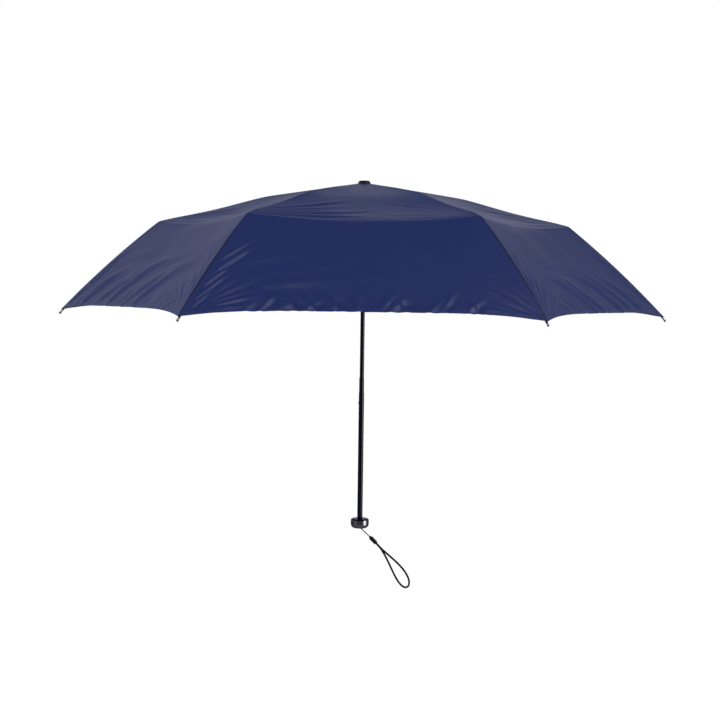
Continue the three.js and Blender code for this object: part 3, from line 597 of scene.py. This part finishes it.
def seam_relief(dist, y, knee_y, phase, lift):
    """Height in mm beside a rib: the seam's groove, the doubled seam allowance with its puckers, and
    the ridge, lift mm high, where the cover is pulled over the inner ribs."""
    groove = -0.20 * np.exp(-(dist / 0.5) ** 2)
    allowance = 0.12 * smooth_step((4.2 - dist) / 2.4)
    ridge = lift * np.exp(-dist / 11.0) * smooth_step(y / 90) * smooth_step((knee_y + 4 - y) / 25)
    pucker = 0.07 * np.sin(2 * math.pi * y / 6.5 + phase) * np.exp(-((dist - 3.2) / 2.2) ** 2)
    return groove + allowance + pucker + ridge


def hem_relief(to_hem):
    """Height in mm near the hem: the turned-in edge is doubled, with a stitched line on its top."""
    doubled = 0.14 * smooth_step((9.4 - to_hem) / 1.2)
    stitched = -0.12 * np.exp(-((to_hem - 8.0) / 0.5) ** 2)
    return doubled + stitched


# ---------- cover: folded round the shaft ----------
FOLD_WRAP = 5.0          # how far a folded panel wraps round the bundle, radians
FOLD_LAYER = 1.15 * MM   # how much each radian of wrap lifts the cloth
FOLD_SLANT = 0.14        # how much further it wraps at the hem, as a share
NECK_R, BUNDLE_R = 4.6, 27.2      # mm: radius at the apex hole, and at the knees
HEM_SPREAD = 2.7                  # mm: how much wider the bundle is at the hem
WHIRL_LOW, WHIRL_RISE, WHIRL_DIP = 5.6, 30.0, 8.0   # mm: from the hole up, and down again to the knees
HEM_DROP = 192                    # mm from the knees down to the hem


def folded_surface(k, w, s):
    """Where the same cloth lies when the umbrella is shut: each panel is a pleat that is wrapped
    round the bundle of ribs, over the next ones. The cloth from the apex to the second knees is
    squeezed into a whirl over the crown; it does not go down and up with the first knees."""
    top = CROWN_HINGE[1]
    u = np.clip(w - 2, 0, 1)
    t = np.clip(w / 2, 0, 1)
    whirl = NECK_R + (BUNDLE_R - NECK_R) * t ** 1.25
    radius = np.where(w < 2, whirl, BUNDLE_R + HEM_SPREAD * u + RIB_BOW / MM * 4 * u * (1 - u))
    height = np.where(w < 2, WHIRL_LOW + WHIRL_RISE * smooth_step(t) - WHIRL_DIP * t ** 12,
                      WHIRL_LOW + WHIRL_RISE - WHIRL_DIP - HEM_DROP * u)
    wrap = FOLD_WRAP * np.where(w < 2, smooth_step(t), 1 + FOLD_SLANT * u)
    share = 1 - np.abs(s) ** 1.15
    lift = FOLD_LAYER / MM * wrap * share * np.clip(radius / 27, 0.15, 1.2)
    lift = lift + 0.9 * s * (1 - s * s) * np.clip(radius / 27, 0.1, 1)
    hem_rise = 12 * (1 - np.abs(s) ** 7) * u
    ripple = 0.35 * np.sin(9 * np.pi * s + 1.3 * k) * smooth_step(t) * (1 - s * s) * u
    r = (radius + lift + ripple) * MM
    a = k * STEP + (s + 1) / 2 * STEP + wrap * share
    return np.stack([r * np.cos(a), r * np.sin(a), top + (height + hem_rise) * MM], -1)


# ---------- cover: mesh ----------
def cover_grid():
    """Open points, folded points, faces, uv and seam and hem distances of the one-piece cover."""
    w_rows = row_places()
    half_at = lambda w: np.interp(w, [0, 1, 2, 3], RIB_LINE[:, 0]) * math.sin(STEP / 2) / MM
    half = {"knee": float(half_at(2.0)), "hem": float(half_at(3.0))}
    spacing = np.linalg.norm(np.diff(RIB_LINE * [math.cos(STEP / 2), 1], axis=0), axis=1) / MM
    down = np.concatenate([[0], np.cumsum(spacing)])
    knee_y, hem_y = down[2], down[3] - HEM_CUT / MM
    open_points, shut_points, uvs, seams, hems = [], [], [], [], []
    for k in range(RIBS):
        s = np.stack([column_places(max(half_at(w), 1.0)) for w in w_rows])
        w = np.repeat(w_rows[:, None], s.shape[1], 1)
        width = np.repeat(half_at(w_rows)[:, None], s.shape[1], 1)
        x = s * width
        y = np.interp(w, [0, 1, 2, 3], [down[0], down[1], down[2], hem_y])
        base = cover_surface(w, s)
        step_s = 1e-3
        across = cover_surface(w, s + step_s) - cover_surface(w, s - step_s)
        along = cover_surface(w + step_s, s) - cover_surface(w - step_s, s)
        normal = np.cross(along, across)
        normal /= np.linalg.norm(normal, axis=-1, keepdims=True)
        seam = width - np.abs(x)
        calm = smooth_step(seam / 9) * smooth_step(y / 60)
        calm = calm * (0.45 + 0.55 * smooth_step((hem_y - y) / 12))
        height = wrinkles(k, x, y, half, knee_y, hem_y) * calm
        lift = np.where(x < 0, RIDGES[k], RIDGES[(k + 1) % RIBS])
        height = height + seam_relief(seam, y, knee_y, 1.7 * k, lift) * smooth_step(y / 15)
        height = height + hem_relief(hem_y - y)
        point = base + normal * (height * MM)[..., None]
        middle = k * STEP + STEP / 2
        c, sn = math.cos(middle), math.sin(middle)
        flat = np.stack([point[..., 0] * c - point[..., 1] * sn,
                         point[..., 0] * sn + point[..., 1] * c, point[..., 2]], -1)
        open_points.append(flat)
        shut_points.append(folded_surface(k, w, s))
        uvs.append(np.stack([x + 1000 * k, y], -1))
        seams.append(seam)
        hems.append(hem_y - y)
    return (np.concatenate(part, axis=1) for part in (open_points, shut_points, uvs, seams, hems))


def grid_faces(rows, columns):
    """Quads of a grid that closes on itself sideways, facing out of the cover."""
    r, c = np.meshgrid(np.arange(rows - 1), np.arange(columns), indexing="ij")
    n = (c + 1) % columns
    quads = np.stack([r * columns + c, (r + 1) * columns + c, (r + 1) * columns + n, r * columns + n], -1)
    return quads.reshape(-1, 4)


def drive_fold(key):
    """The shape key follows the runner: 0 with the umbrella open, 1 with it shut. In between the
    cloth moves on straight lines and leaves the ribs."""
    curve = key.driver_add("value").driver
    curve.type = "SCRIPTED"
    for name in ("crown", "runner"):
        variable = curve.variables.new()
        variable.name = name
        variable.type = "TRANSFORMS"
        target = variable.targets[0]
        target.id = frame["bodies"][name]
        target.transform_type = "LOC_Z"
        target.transform_space = "WORLD_SPACE"
    curve.expression = f"(crown - runner) / {RUNNER_TRAVEL:.6f}"


def as_cloth(piece, node, seam, hem, shut_points, thickness, offset):
    """Finish a sheet: distances to its seams and hem in mm, folded shape, thickness, place."""
    for name, values in (("seam_mm", seam), ("hem_mm", hem)):
        piece.data.attributes.new(name, "FLOAT", "POINT").data.foreach_set("value", values)
    piece.shape_key_add(name="open")
    shut = piece.shape_key_add(name="shut")
    shut.data.foreach_set("co", np.array(shut_points, np.float32).reshape(-1))
    drive_fold(shut)
    thick = piece.modifiers.new("thickness", "SOLIDIFY")
    thick.thickness = thickness
    thick.offset = offset
    thick.material_offset = len(piece.data.materials) - 1
    stands_for(piece, "crown", node)


def cover():
    """The cover: one continuous sheet of cloth, with a folded shape that follows the runner."""
    open_points, shut_points, uv, seam, hem = cover_grid()
    rows, columns = open_points.shape[:2]
    quads = grid_faces(rows, columns)
    piece = new_mesh("cover", [], [], COVER_OUT)
    mesh = piece.data
    mesh.materials.append(COVER_IN)
    mesh.vertices.add(rows * columns)
    mesh.vertices.foreach_set("co", open_points.reshape(-1).astype(np.float32))
    mesh.loops.add(quads.size)
    mesh.loops.foreach_set("vertex_index", quads.reshape(-1).astype(np.int32))
    mesh.polygons.add(len(quads))
    mesh.polygons.foreach_set("loop_start", np.arange(0, quads.size, 4, dtype=np.int32))
    mesh.update(calc_edges=True)
    mesh.polygons.foreach_set("use_smooth", [True] * len(quads))
    layer = mesh.uv_layers.new(name="cloth")
    layer.data.foreach_set("uv", uv.reshape(-1, 2)[quads.reshape(-1)].reshape(-1).astype(np.float32))
    distances = (part.reshape(-1).astype(np.float32) for part in (seam, hem))
    as_cloth(piece, "canopy", *distances, shut_points, CLOTH, -1.0)


# ---------- shaft, handle and other turned pieces ----------
def box_of(node):
    """(largest radius, lowest, highest) of a round CAD piece about the shaft."""
    low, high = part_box(node)
    return max(high.x, high.y, -low.x, -low.y), low.z, high.z


def shaft_tube(name, node, body, radius, wall, flat=None):
    """A telescopic tube. flat is the distance of the flat side from the axis, on the -X side."""
    _, low, high = box_of(node)
    segments = 96
    angles = [2 * math.pi * i / segments for i in range(segments)]
    points, faces = [], []
    edge = 0.12 * MM
    levels = [(radius - wall, low + edge), (radius - wall + edge, low), (radius - edge, low),
              (radius, low + edge), (radius, high - edge), (radius - edge, high),
              (radius - wall + edge, high), (radius - wall, high - edge)]
    for r, z in levels:
        for a in angles:
            x, y = math.cos(a) * r, math.sin(a) * r
            if flat is not None:
                x = max(x, -(flat - (radius - r)))
            points.append((x, y, z))
    for ring in range(len(levels)):
        after = (ring + 1) % len(levels)
        for i in range(segments):
            j = (i + 1) % segments
            faces.append([ring * segments + i, ring * segments + j,
                          after * segments + j, after * segments + i])
    piece = new_mesh(name, points, faces, TUBE, sharp=25)
    stands_for(piece, body, node)
    return piece


def lower_tube():
    """The outer tube, drawn in to a narrower neck at its top, with the hole of the lower lock cut through
    it.
    """
    r, low, high = box_of("shaft_lower")
    r += 0.05 * MM
    neck_r, neck = 3.58 * MM, high - 23 * MM
    bore, neck_bore = r - 0.4 * MM, neck_r - 0.15 * MM
    profile = [(bore, low), (r, low), (r, neck), (neck_r, neck + 2.4 * MM), (neck_r, high),
               (neck_bore, high), (neck_bore, neck + 2 * MM), (bore, neck - 1 * MM), (bore, low)]
    smooth = rounded(profile, 0.5 * MM, 3)
    piece = turned("lower_tube", smooth, TUBE, 128, 35)
    drilled(piece, "lock_button_lower", 1.6 * MM)
    stands_for(piece, "handle", "shaft_lower")


def drilled(piece, node, depth):
    """Cut the hole of a lock button through the near wall of a tube, depth in from the button's head."""
    low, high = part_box(node)
    radius = (high.z - low.z) / 2 + 0.15 * MM
    drill = turned("drill", [(0, -depth), (radius, -depth), (radius, depth), (0, depth)], TUBE, 24, 40)
    drill.matrix_world = facing((low.x, 0, (low.z + high.z) / 2), (1, 0, 0))
    hole = piece.modifiers.new("hole", "BOOLEAN")
    hole.operation = "DIFFERENCE"
    hole.object = drill
    bpy.context.view_layer.update()
    shown = piece.evaluated_get(bpy.context.evaluated_depsgraph_get())
    shape = bpy.data.meshes.new_from_object(shown)
    shape.set_sharp_from_angle(angle=math.radians(25))
    piece.modifiers.remove(hole)
    piece.data = shape
    bpy.data.objects.remove(drill)


def rivet(name, body, at, outward, radius, height, material):
    """A small domed button or rivet on the side of the shaft."""
    profile = [(0, -0.15 * MM), (radius, -0.15 * MM), (radius, height * 0.45)]
    for i in range(1, 7):
        a = math.pi / 2 * i / 6
        profile.append((radius * math.cos(a), height * (0.45 + 0.55 * math.sin(a))))
    profile[-1] = (0, height)
    piece = turned(name, profile, material, 32, 40)
    piece.matrix_world = facing(at, outward)
    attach(piece, body)
    return piece


def shaft():
    """The three tubes, the heads of the two locks, and the rivet under the lower tube's neck."""
    lower_tube()
    shaft_tube("middle_tube", "shaft_middle", "middle_tube", 3.3 * MM, 0.3 * MM, 3.0 * MM)
    shaft_tube("upper_tube", "shaft_upper", "crown", 2.45 * MM, 0.3 * MM, 1.3 * MM)
    for node, body in (("lock_button_lower", "lower_lock"), ("lock_button_upper", "upper_lock")):
        low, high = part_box(node)
        size = (high.z - low.z) / 2
        at = Vector((high.x - 0.7 * MM, 0, (low.z + high.z) / 2))
        head = rivet(node.replace("lock_button", "lock_head"), body, at, (-1, 0, 0), size,
                     at.x - low.x + 0.15 * MM, BRIGHT)
        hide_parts(node)
    # the pressed rivet that keeps the lower tube's neck in place, on the right of the front
    side = math.radians(-62)
    outward = Vector((math.cos(side), math.sin(side), 0))
    r, _, high = box_of("shaft_lower")
    neck_level = Vector((0, 0, high - 26.5 * MM))
    pip = rivet("neck_rivet", "handle", outward * (r - 0.15 * MM) + neck_level, outward,
                0.8 * MM, 0.45 * MM, BRIGHT)


def handle_cup():
    """The gunmetal drum, open at its top: a flat base, a round belly and a straight wall."""
    r, low, high = box_of("handle_shell")
    base, wall, belly = 7.4 * MM, 1.2 * MM, 6.3 * MM
    outside, inside = [(0, low), (base - 0.4 * MM, low)], []
    for i in range(11):
        a = math.pi / 2 * i / 10
        outside.append((base + (r - base) * math.sin(a), belly * (1 - math.cos(a))))
        inside.append((base + (r - base) * math.sin(a) - wall, wall + (belly - wall) * (1 - math.cos(a))))
    outside += [(r, high - 0.35 * MM), (r - 0.3 * MM, high), (r - wall + 0.2 * MM, high)]
    profile = outside + [(r - wall, high - 0.3 * MM)] + inside[::-1] + [(0, wall)]
    cup = turned("handle_cup", profile, GUNMETAL, 128, 30)
    stands_for(cup, "handle", "handle_shell")


def handle_collar():
    """The dark bevelled ring in the drum's mouth."""
    r, low, high = box_of("handle_collar")
    bore = 4.0 * MM
    ring = [(bore, low), (r, low), (r - 0.1 * MM, low + 0.25 * MM), (r - 1.7 * MM, high),
            (bore + 0.6 * MM, high), (bore, high - 0.5 * MM), (bore, low)]
    collar = turned("handle_bevel", rounded(ring, 0.25 * MM, 3), DARK_METAL, 128, 30)
    stands_for(collar, "handle", "handle_collar")


def handle_core():
    """The plastic core that holds the shaft keeps its CAD mesh."""
    core = frame["nodes"]["handle_core"].data
    core.materials.clear()
    core.materials.append(PLASTIC)


def ferrule():
    """The cap over the crown; its hollow underside lies along the cover."""
    r, low, high = box_of("ferrule_cap")
    stem, brim = 3.0 * MM, high - 3.8 * MM
    cap = [(0, low), (stem, low), (stem, brim + 0.8 * MM), (r, brim), (r, brim + 1.1 * MM),
           (r - 2.25 * MM, high), (0, high)]
    piece = turned("ferrule", rounded(cap, 0.3 * MM, 4), CAP_PAINT, 96, 40)
    stands_for(piece, "crown", "ferrule_cap")


def rib_tips():
    """A ball with a short neck on the end of each rib."""
    ball, neck, length = 1.9 * MM, 1.25 * MM, 5.4 * MM
    profile = [(0, 0), (neck * 0.85, 0), (neck, 0.3 * MM), (neck * 0.9, length - 2 * ball + 0.35 * MM)]
    for i in range(2, 13):
        a = -math.pi / 2 + math.pi * i / 12
        profile.append((ball * math.cos(a) if i < 12 else 0, length - ball + ball * math.sin(a)))
    low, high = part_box("rib_tip_1")
    end = np.array([RIB_LINE[3][0] - 1.5 * MM, RIB_LINE[3][1] - 1.5 * MM])
    slope = math.atan2(KNEE_2[1] + 3 * MM - end[1], end[0] - KNEE_2[0])
    direction = Vector((math.cos(slope), 0, -math.sin(slope)))
    root = Vector(((low.x + high.x) / 2, 0, (low.z + high.z) / 2)) - direction * length / 2
    for k in range(RIBS):
        piece = turned(f"tip_ball_{k + 1}", profile, BRIGHT, 32, 40)
        piece.matrix_world = Matrix.Rotation(k * STEP, 4, "Z") @ facing(root, direction)
        stands_for(piece, f"rib_outer_{k + 1}", f"rib_tip_{k + 1}")


# ---------- lanyard ----------
EXIT = Vector(JOINTS["lanyard_swing"]["pos_m"])   # where the string leaves the handle


def lanyard_line():
    """The lanyard's middle line as a function of distance along and to the side, in metres."""
    bead_low, bead_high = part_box("lanyard_bead")
    loop_low, loop_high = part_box("lanyard_loop")
    middle = (bead_low + bead_high) / 2
    slope = math.atan2(middle.z - EXIT.z, middle.x - EXIT.x)
    start = (middle - EXIT).length
    end_slope = math.atan2(loop_low.z - EXIT.z, (loop_high.x - 5 * MM) - EXIT.x)
    whole = math.hypot(loop_low.z - EXIT.z, loop_high.x - 5 * MM - EXIT.x)
    bend = (end_slope - slope) / (whole - start)

    def point(along, side=0.0):
        turn = slope + bend * (along - start)
        return Vector((EXIT.x + along * math.cos(turn) - side * math.sin(turn), EXIT.y,
                       EXIT.z + along * math.sin(turn) + side * math.cos(turn)))

    return point, start, whole


def cord_uv(piece, sides, length):
    """Uv in mm along and round a swept cord."""
    layer = piece.data.uv_layers.new(name="cord")
    for polygon in piece.data.polygons:
        for loop in polygon.loop_indices:
            index = piece.data.loops[loop].vertex_index
            ring, n = divmod(index, sides)
            layer.data[loop].uv = (ring * length, n * 6.0 / sides)


CORD_SIDES = 14
BEAD_HALF = 7.0 * MM
CORD_R = 1.45 * MM       # of the loop
DOUBLED = 0.14           # the share of the loop where its two strands lie side by side
LOOP_HALF = 18 * MM


def lanyard_string(point, bead_at):
    """The thin string from the handle's underside into the bead."""
    count = 24
    path = [point(-1.0 * MM + (bead_at - 5 * MM) * i / count) for i in range(count + 1)]
    string = swept("lanyard_cord", path, [0.75 * MM] * (count + 1), CORD, CORD_SIDES)
    cord_uv(string, CORD_SIDES, 0.6)
    stands_for(string, "lanyard", "lanyard_string")


def lanyard_bead(point, bead_at):
    """The bead, thin at the string and full towards the loop, with a hollow at each end."""
    flank = []
    for i in range(25):
        t = i / 24
        swell = 1.5 + 1.5 * smooth_step(np.array(t / 0.28)) - 0.35 * smooth_step(np.array((t - 0.8) / 0.2))
        flank.append((float(swell) * MM, (t - 0.5) * 2 * BEAD_HALF))
    mouth = 1 * MM - BEAD_HALF
    hollow = BEAD_HALF - 2 * MM
    profile = [(0, mouth), (0.7 * MM, mouth), (0.8 * MM, -BEAD_HALF)] + flank
    profile += [(2.0 * MM, BEAD_HALF), (1.95 * MM, hollow), (0, hollow)]
    bead = turned("lanyard_toggle", profile, PLASTIC, 40, 40)
    ahead = (point(bead_at + BEAD_HALF) - point(bead_at - BEAD_HALF)).normalized()
    bead.matrix_world = facing(point(bead_at), ahead)
    stands_for(bead, "lanyard", "lanyard_bead")


def lanyard_loop(point, bead_at, whole):
    """The wrist loop: out of the bead, round the far end and back beside itself."""
    count = 120
    start = bead_at + BEAD_HALF - 2.2 * MM
    path = []
    for i in range(count + 1):
        t = 2 * math.pi * i / count
        share = (1 - math.cos(t)) / 2
        apart = max(share - DOUBLED, 0) / (1 - DOUBLED)
        out = 1 if t < math.pi else -1
        side = out * LOOP_HALF * apart ** 1.35 * math.sqrt(max(1 - apart * apart, 0)) - 1.6 * MM * apart
        behind = Vector((0, out * CORD_R * min(1, 3 * (1 - share)), 0))
        path.append(point(start + (whole - start) * share, side) + behind)
    loop = swept("lanyard_wrist_loop", path, [CORD_R] * (count + 1), CORD, CORD_SIDES)
    cord_uv(loop, CORD_SIDES, 1.3)
    stands_for(loop, "lanyard", "lanyard_loop")


def lanyard():
    """The string, the bead that grips it and the cord loop, on one drooping line."""
    point, bead_at, whole = lanyard_line()
    lanyard_string(point, bead_at)
    lanyard_bead(point, bead_at)
    lanyard_loop(point, bead_at, whole)


# ---------- CAD pieces that keep their own mesh ----------
def dress_frame():
    """Materials, and softened edges, for the CAD pieces that are shown as they are."""
    looks = {"rib_inner": RIB_PAINT, "rib_middle": RIB_PAINT, "rib_outer": RIB_PAINT,
             "stretcher": RIB_PAINT, "link_bar": RIB_PAINT, "control_wire": BRIGHT,
             "crown_wire": BRIGHT, "crown": PLASTIC, "runner": PLASTIC, "runner_button": PLASTIC}
    for name, thing in frame["nodes"].items():
        base = name.rsplit("_", 1)[0] if name[-1].isdigit() else name
        if base not in looks:
            continue
        thing.data.materials.clear()
        thing.data.materials.append(looks[base])
        soft = thing.modifiers.new("soft_edges", "BEVEL")
        soft.width = 0.08 * MM
        soft.segments = 2
        soft.limit_method = "ANGLE"
        soft.angle_limit = math.radians(40)


# ---------- strap ----------
STRAP_WIDTH = 17.6 * MM
STRAP_COLUMNS, STRAP_ROWS = 13, 56
STRAP_RADIUS = 39.9 * MM    # shut, about 1 mm off the bundle
STRAP_TURNS = 1.05          # shut, with its outer end over its inner one
STRAP_GROWTH = 1.3 * MM     # how much further out the outer end lies
STRAP_DROP = 95 * MM        # shut, below the hinges of the crown
FAR_MM = 50.0               # no seam and no hem on the strap


def strap_points():
    """Points of the strap on the open cover, and wrapped round the bundle."""
    low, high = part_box("closure_strap")
    root = np.array([0, high.y, low.z])
    tip = np.array([0, low.y, high.z])
    ahead = (tip - root) / np.linalg.norm(tip - root)
    length = np.linalg.norm(tip - root) - 1.0 * MM
    out = np.array([0, -ahead[2], ahead[1]])
    out = out if out[2] > 0 else -out
    level = CROWN_HINGE[1] - STRAP_DROP
    open_points, shut_points = [], []
    for i in range(STRAP_ROWS):
        t = i / (STRAP_ROWS - 1)
        wave = 0.5 * MM * math.sin(7 * t) * math.sin(3 * t + 0.4) + 0.9 * MM * t
        a = math.pi / 2 + t * 2 * math.pi * STRAP_TURNS
        for j in range(STRAP_COLUMNS):
            v = (j / (STRAP_COLUMNS - 1) - 0.5) * STRAP_WIDTH
            edge = 0.18 * MM * (abs(j - 6) in (5, 6))
            lift = out * (wave + edge + 0.2 * MM)
            open_points.append(root + ahead * (0.5 * MM + length * t) + lift + np.array([v, 0, 0]))
            r = STRAP_RADIUS + 0.2 * MM + STRAP_GROWTH * t + edge
            shut_points.append((r * math.cos(a), r * math.sin(a), level + v))
    return open_points, shut_points


def closure_strap():
    """The closing strap: a band with thicker edges, sewn to the hem of the back panel."""
    open_points, shut_points = strap_points()
    faces = []
    for i in range(STRAP_ROWS - 1):
        for j in range(STRAP_COLUMNS - 1):
            a = i * STRAP_COLUMNS + j
            faces.append([a, a + 1, a + STRAP_COLUMNS + 1, a + STRAP_COLUMNS])
    piece = new_mesh("closing_strap", open_points, faces, COVER_OUT)
    layer = piece.data.uv_layers.new(name="cloth")
    for loop in piece.data.loops:
        i, j = divmod(loop.vertex_index, STRAP_COLUMNS)
        layer.data[loop.index].uv = (j * 1.5, i * 2.0)
    far = [FAR_MM] * len(open_points)
    as_cloth(piece, "closure_strap", far, far, shut_points, 0.8 * MM, 0.0)


# ---------- floor, light, camera ----------
ROOM, PAPER, CEILING = 0.05, 0.44, 0.08   # brightness of the three parts of the studio
RIGHT_GLOW, RIGHT_SHADE = 1.3, 0.6         # the paper just right of the middle, and far to the right
STUDIO_TINT = (0.93, 0.95, 1.12, 1)        # the white of the studio is a cool one


def world():
    """White for the camera. For light and reflections: bright paper behind and beside the umbrella,
    a softer ceiling, and a dim room on the camera's side."""
    studio = bpy.data.worlds.new("studio")
    bpy.context.scene.world = studio
    studio.use_nodes = True
    studio.node_tree.nodes.clear()
    n = Nodes(studio.node_tree)

    def ranged(value, low, high, at_low, at_high):
        return n.node("ShaderNodeMapRange", {"interpolation_type": "SMOOTHSTEP"}, Value=value,
                      From_Min=low, From_Max=high, To_Min=at_low, To_Max=at_high).outputs[0]

    place = n.node("ShaderNodeTexCoord").outputs["Generated"]
    toward = n.node("ShaderNodeSeparateXYZ", Vector=place).outputs
    paper = ranged(toward["Y"], -0.75, 0.35, ROOM, PAPER)
    ceiling = ranged(toward["Z"], 0.25, 0.95, 0.0, 1.0)
    side = n.math("MULTIPLY", ranged(toward["X"], 0.0, 0.1, 1.0, RIGHT_GLOW),
                  ranged(toward["X"], 0.12, 0.45, 1.0, RIGHT_SHADE / RIGHT_GLOW))
    blend = n.node("ShaderNodeMix")
    for index, value in ((0, ceiling), (2, n.math("MULTIPLY", paper, side)), (3, CEILING)):
        n.put(blend.inputs[index], value)
    glow = n.node("ShaderNodeBackground", Color=STUDIO_TINT, Strength=blend.outputs[0]).outputs[0]
    white = n.node("ShaderNodeBackground", Color=(1, 1, 1, 1)).outputs[0]
    ray = n.node("ShaderNodeLightPath").outputs["Is Camera Ray"]
    mix = n.node("ShaderNodeMixShader")
    for socket, value in zip(mix.inputs, (ray, glow, white)):
        n.put(socket, value)
    n.node("ShaderNodeOutputWorld", Surface=mix.outputs[0])


def area_light(name, at, aim, size, power, only_reflected=False):
    """A softbox in watts; only_reflected keeps its light off the matt side of things."""
    data = bpy.data.lights.new(name, "AREA")
    data.shape = "RECTANGLE"
    data.size, data.size_y = size
    data.energy = power
    lamp = bpy.data.objects.new(name, data)
    lamp.visible_diffuse = not only_reflected
    lamp.location = at
    lamp.rotation_euler = (Vector(aim) - Vector(at)).to_track_quat("-Z", "Y").to_euler()
    bpy.context.scene.collection.objects.link(lamp)


def lights():
    """Three softboxes, two panels for the shiny pieces, and a small lamp for the folds."""
    area_light("front_softbox", (-0.2, -2.55, 2.2), (0, 0, 0.4), (1.8, 1.0), 37)
    area_light("right_softbox", (1.7, -0.72, 0.55), (0, 0, 0.25), (0.55, 1.9), 8.5)
    area_light("left_softbox", (-2.1, -0.5, 1.5), (0, 0, 0.35), (0.7, 1.2), 8.6)
    # panels that only the shiny shaft and handle show
    area_light("right_panel", (1.75, -0.72, 0.3), (0, 0, 0.2), (1.3, 2.2), 15, only_reflected=True)
    # a small lamp that draws the crests of the folds
    area_light("fold_lamp", (1.1, -1.1, 2.2), (0, -0.25, 0.38), (0.9, 0.9), 7, only_reflected=True)
    area_light("left_panel", (-1.7, -1.1, 0.3), (0, 0, 0.2), (1.5, 1.8), 1.2, only_reflected=True)


FLOOR_DROP, FLOOR_REACH = 0.85, 40.0   # metres below the part, and to each side


def floor():
    """A pale floor well below the lanyard. It looks white, but lights the object only a little."""
    s = Shader("floor_paper", Roughness=0.9)
    grain = s.noise(s.coords(), 40.0, 3.0)
    ray = s.node("ShaderNodeLightPath").outputs["Is Camera Ray"]
    s.set(Base_Color=s.mix(grain, (0.28, 0.28, 0.28, 1), (0.32, 0.32, 0.32, 1)),
          Emission_Color=(1, 1, 1, 1), Emission_Strength=s.math("MULTIPLY", ray, 0.95))
    level = cad_box[0].z - FLOOR_DROP
    corners = [(x * FLOOR_REACH, y * FLOOR_REACH, level) for x, y in ((-1, -1), (1, -1), (1, 1), (-1, 1))]
    ground = new_mesh("floor", corners, [[0, 1, 2, 3]], s.material)


CAMERA_AT = (-0.0065, -4.70, 0.0791)   # from the middle at the tips' height, in tip radii
PITCH, ROLL = 0.0491, 0.0135           # down, and to the side, in radians


def camera():
    """Level with the lower part of the cover, a long lens, tilted down a little and rolled a little."""
    tip_radius = COVER_HIGH.x
    data = bpy.data.cameras.new("camera")
    data.sensor_width = 36.0
    data.lens = 70.98
    data.clip_start = 0.05
    data.clip_end = 100.0
    cam = bpy.data.objects.new("camera", data)
    at = Vector(CAMERA_AT) * tip_radius + Vector((0, 0, COVER_LOW.z))
    turn = Matrix.Rotation(math.pi / 2 - PITCH, 4, "X") @ Matrix.Rotation(ROLL, 4, "Z")
    cam.matrix_world = Matrix.Translation(at) @ turn
    bpy.context.scene.collection.objects.link(cam)
    bpy.context.scene.camera = cam
    bpy.context.scene.view_settings.view_transform = "Standard"


cover()
closure_strap()
shaft()
handle_cup()
handle_collar()
handle_core()
ferrule()
rib_tips()
lanyard()
dress_frame()
world()
lights()
floor()
camera()
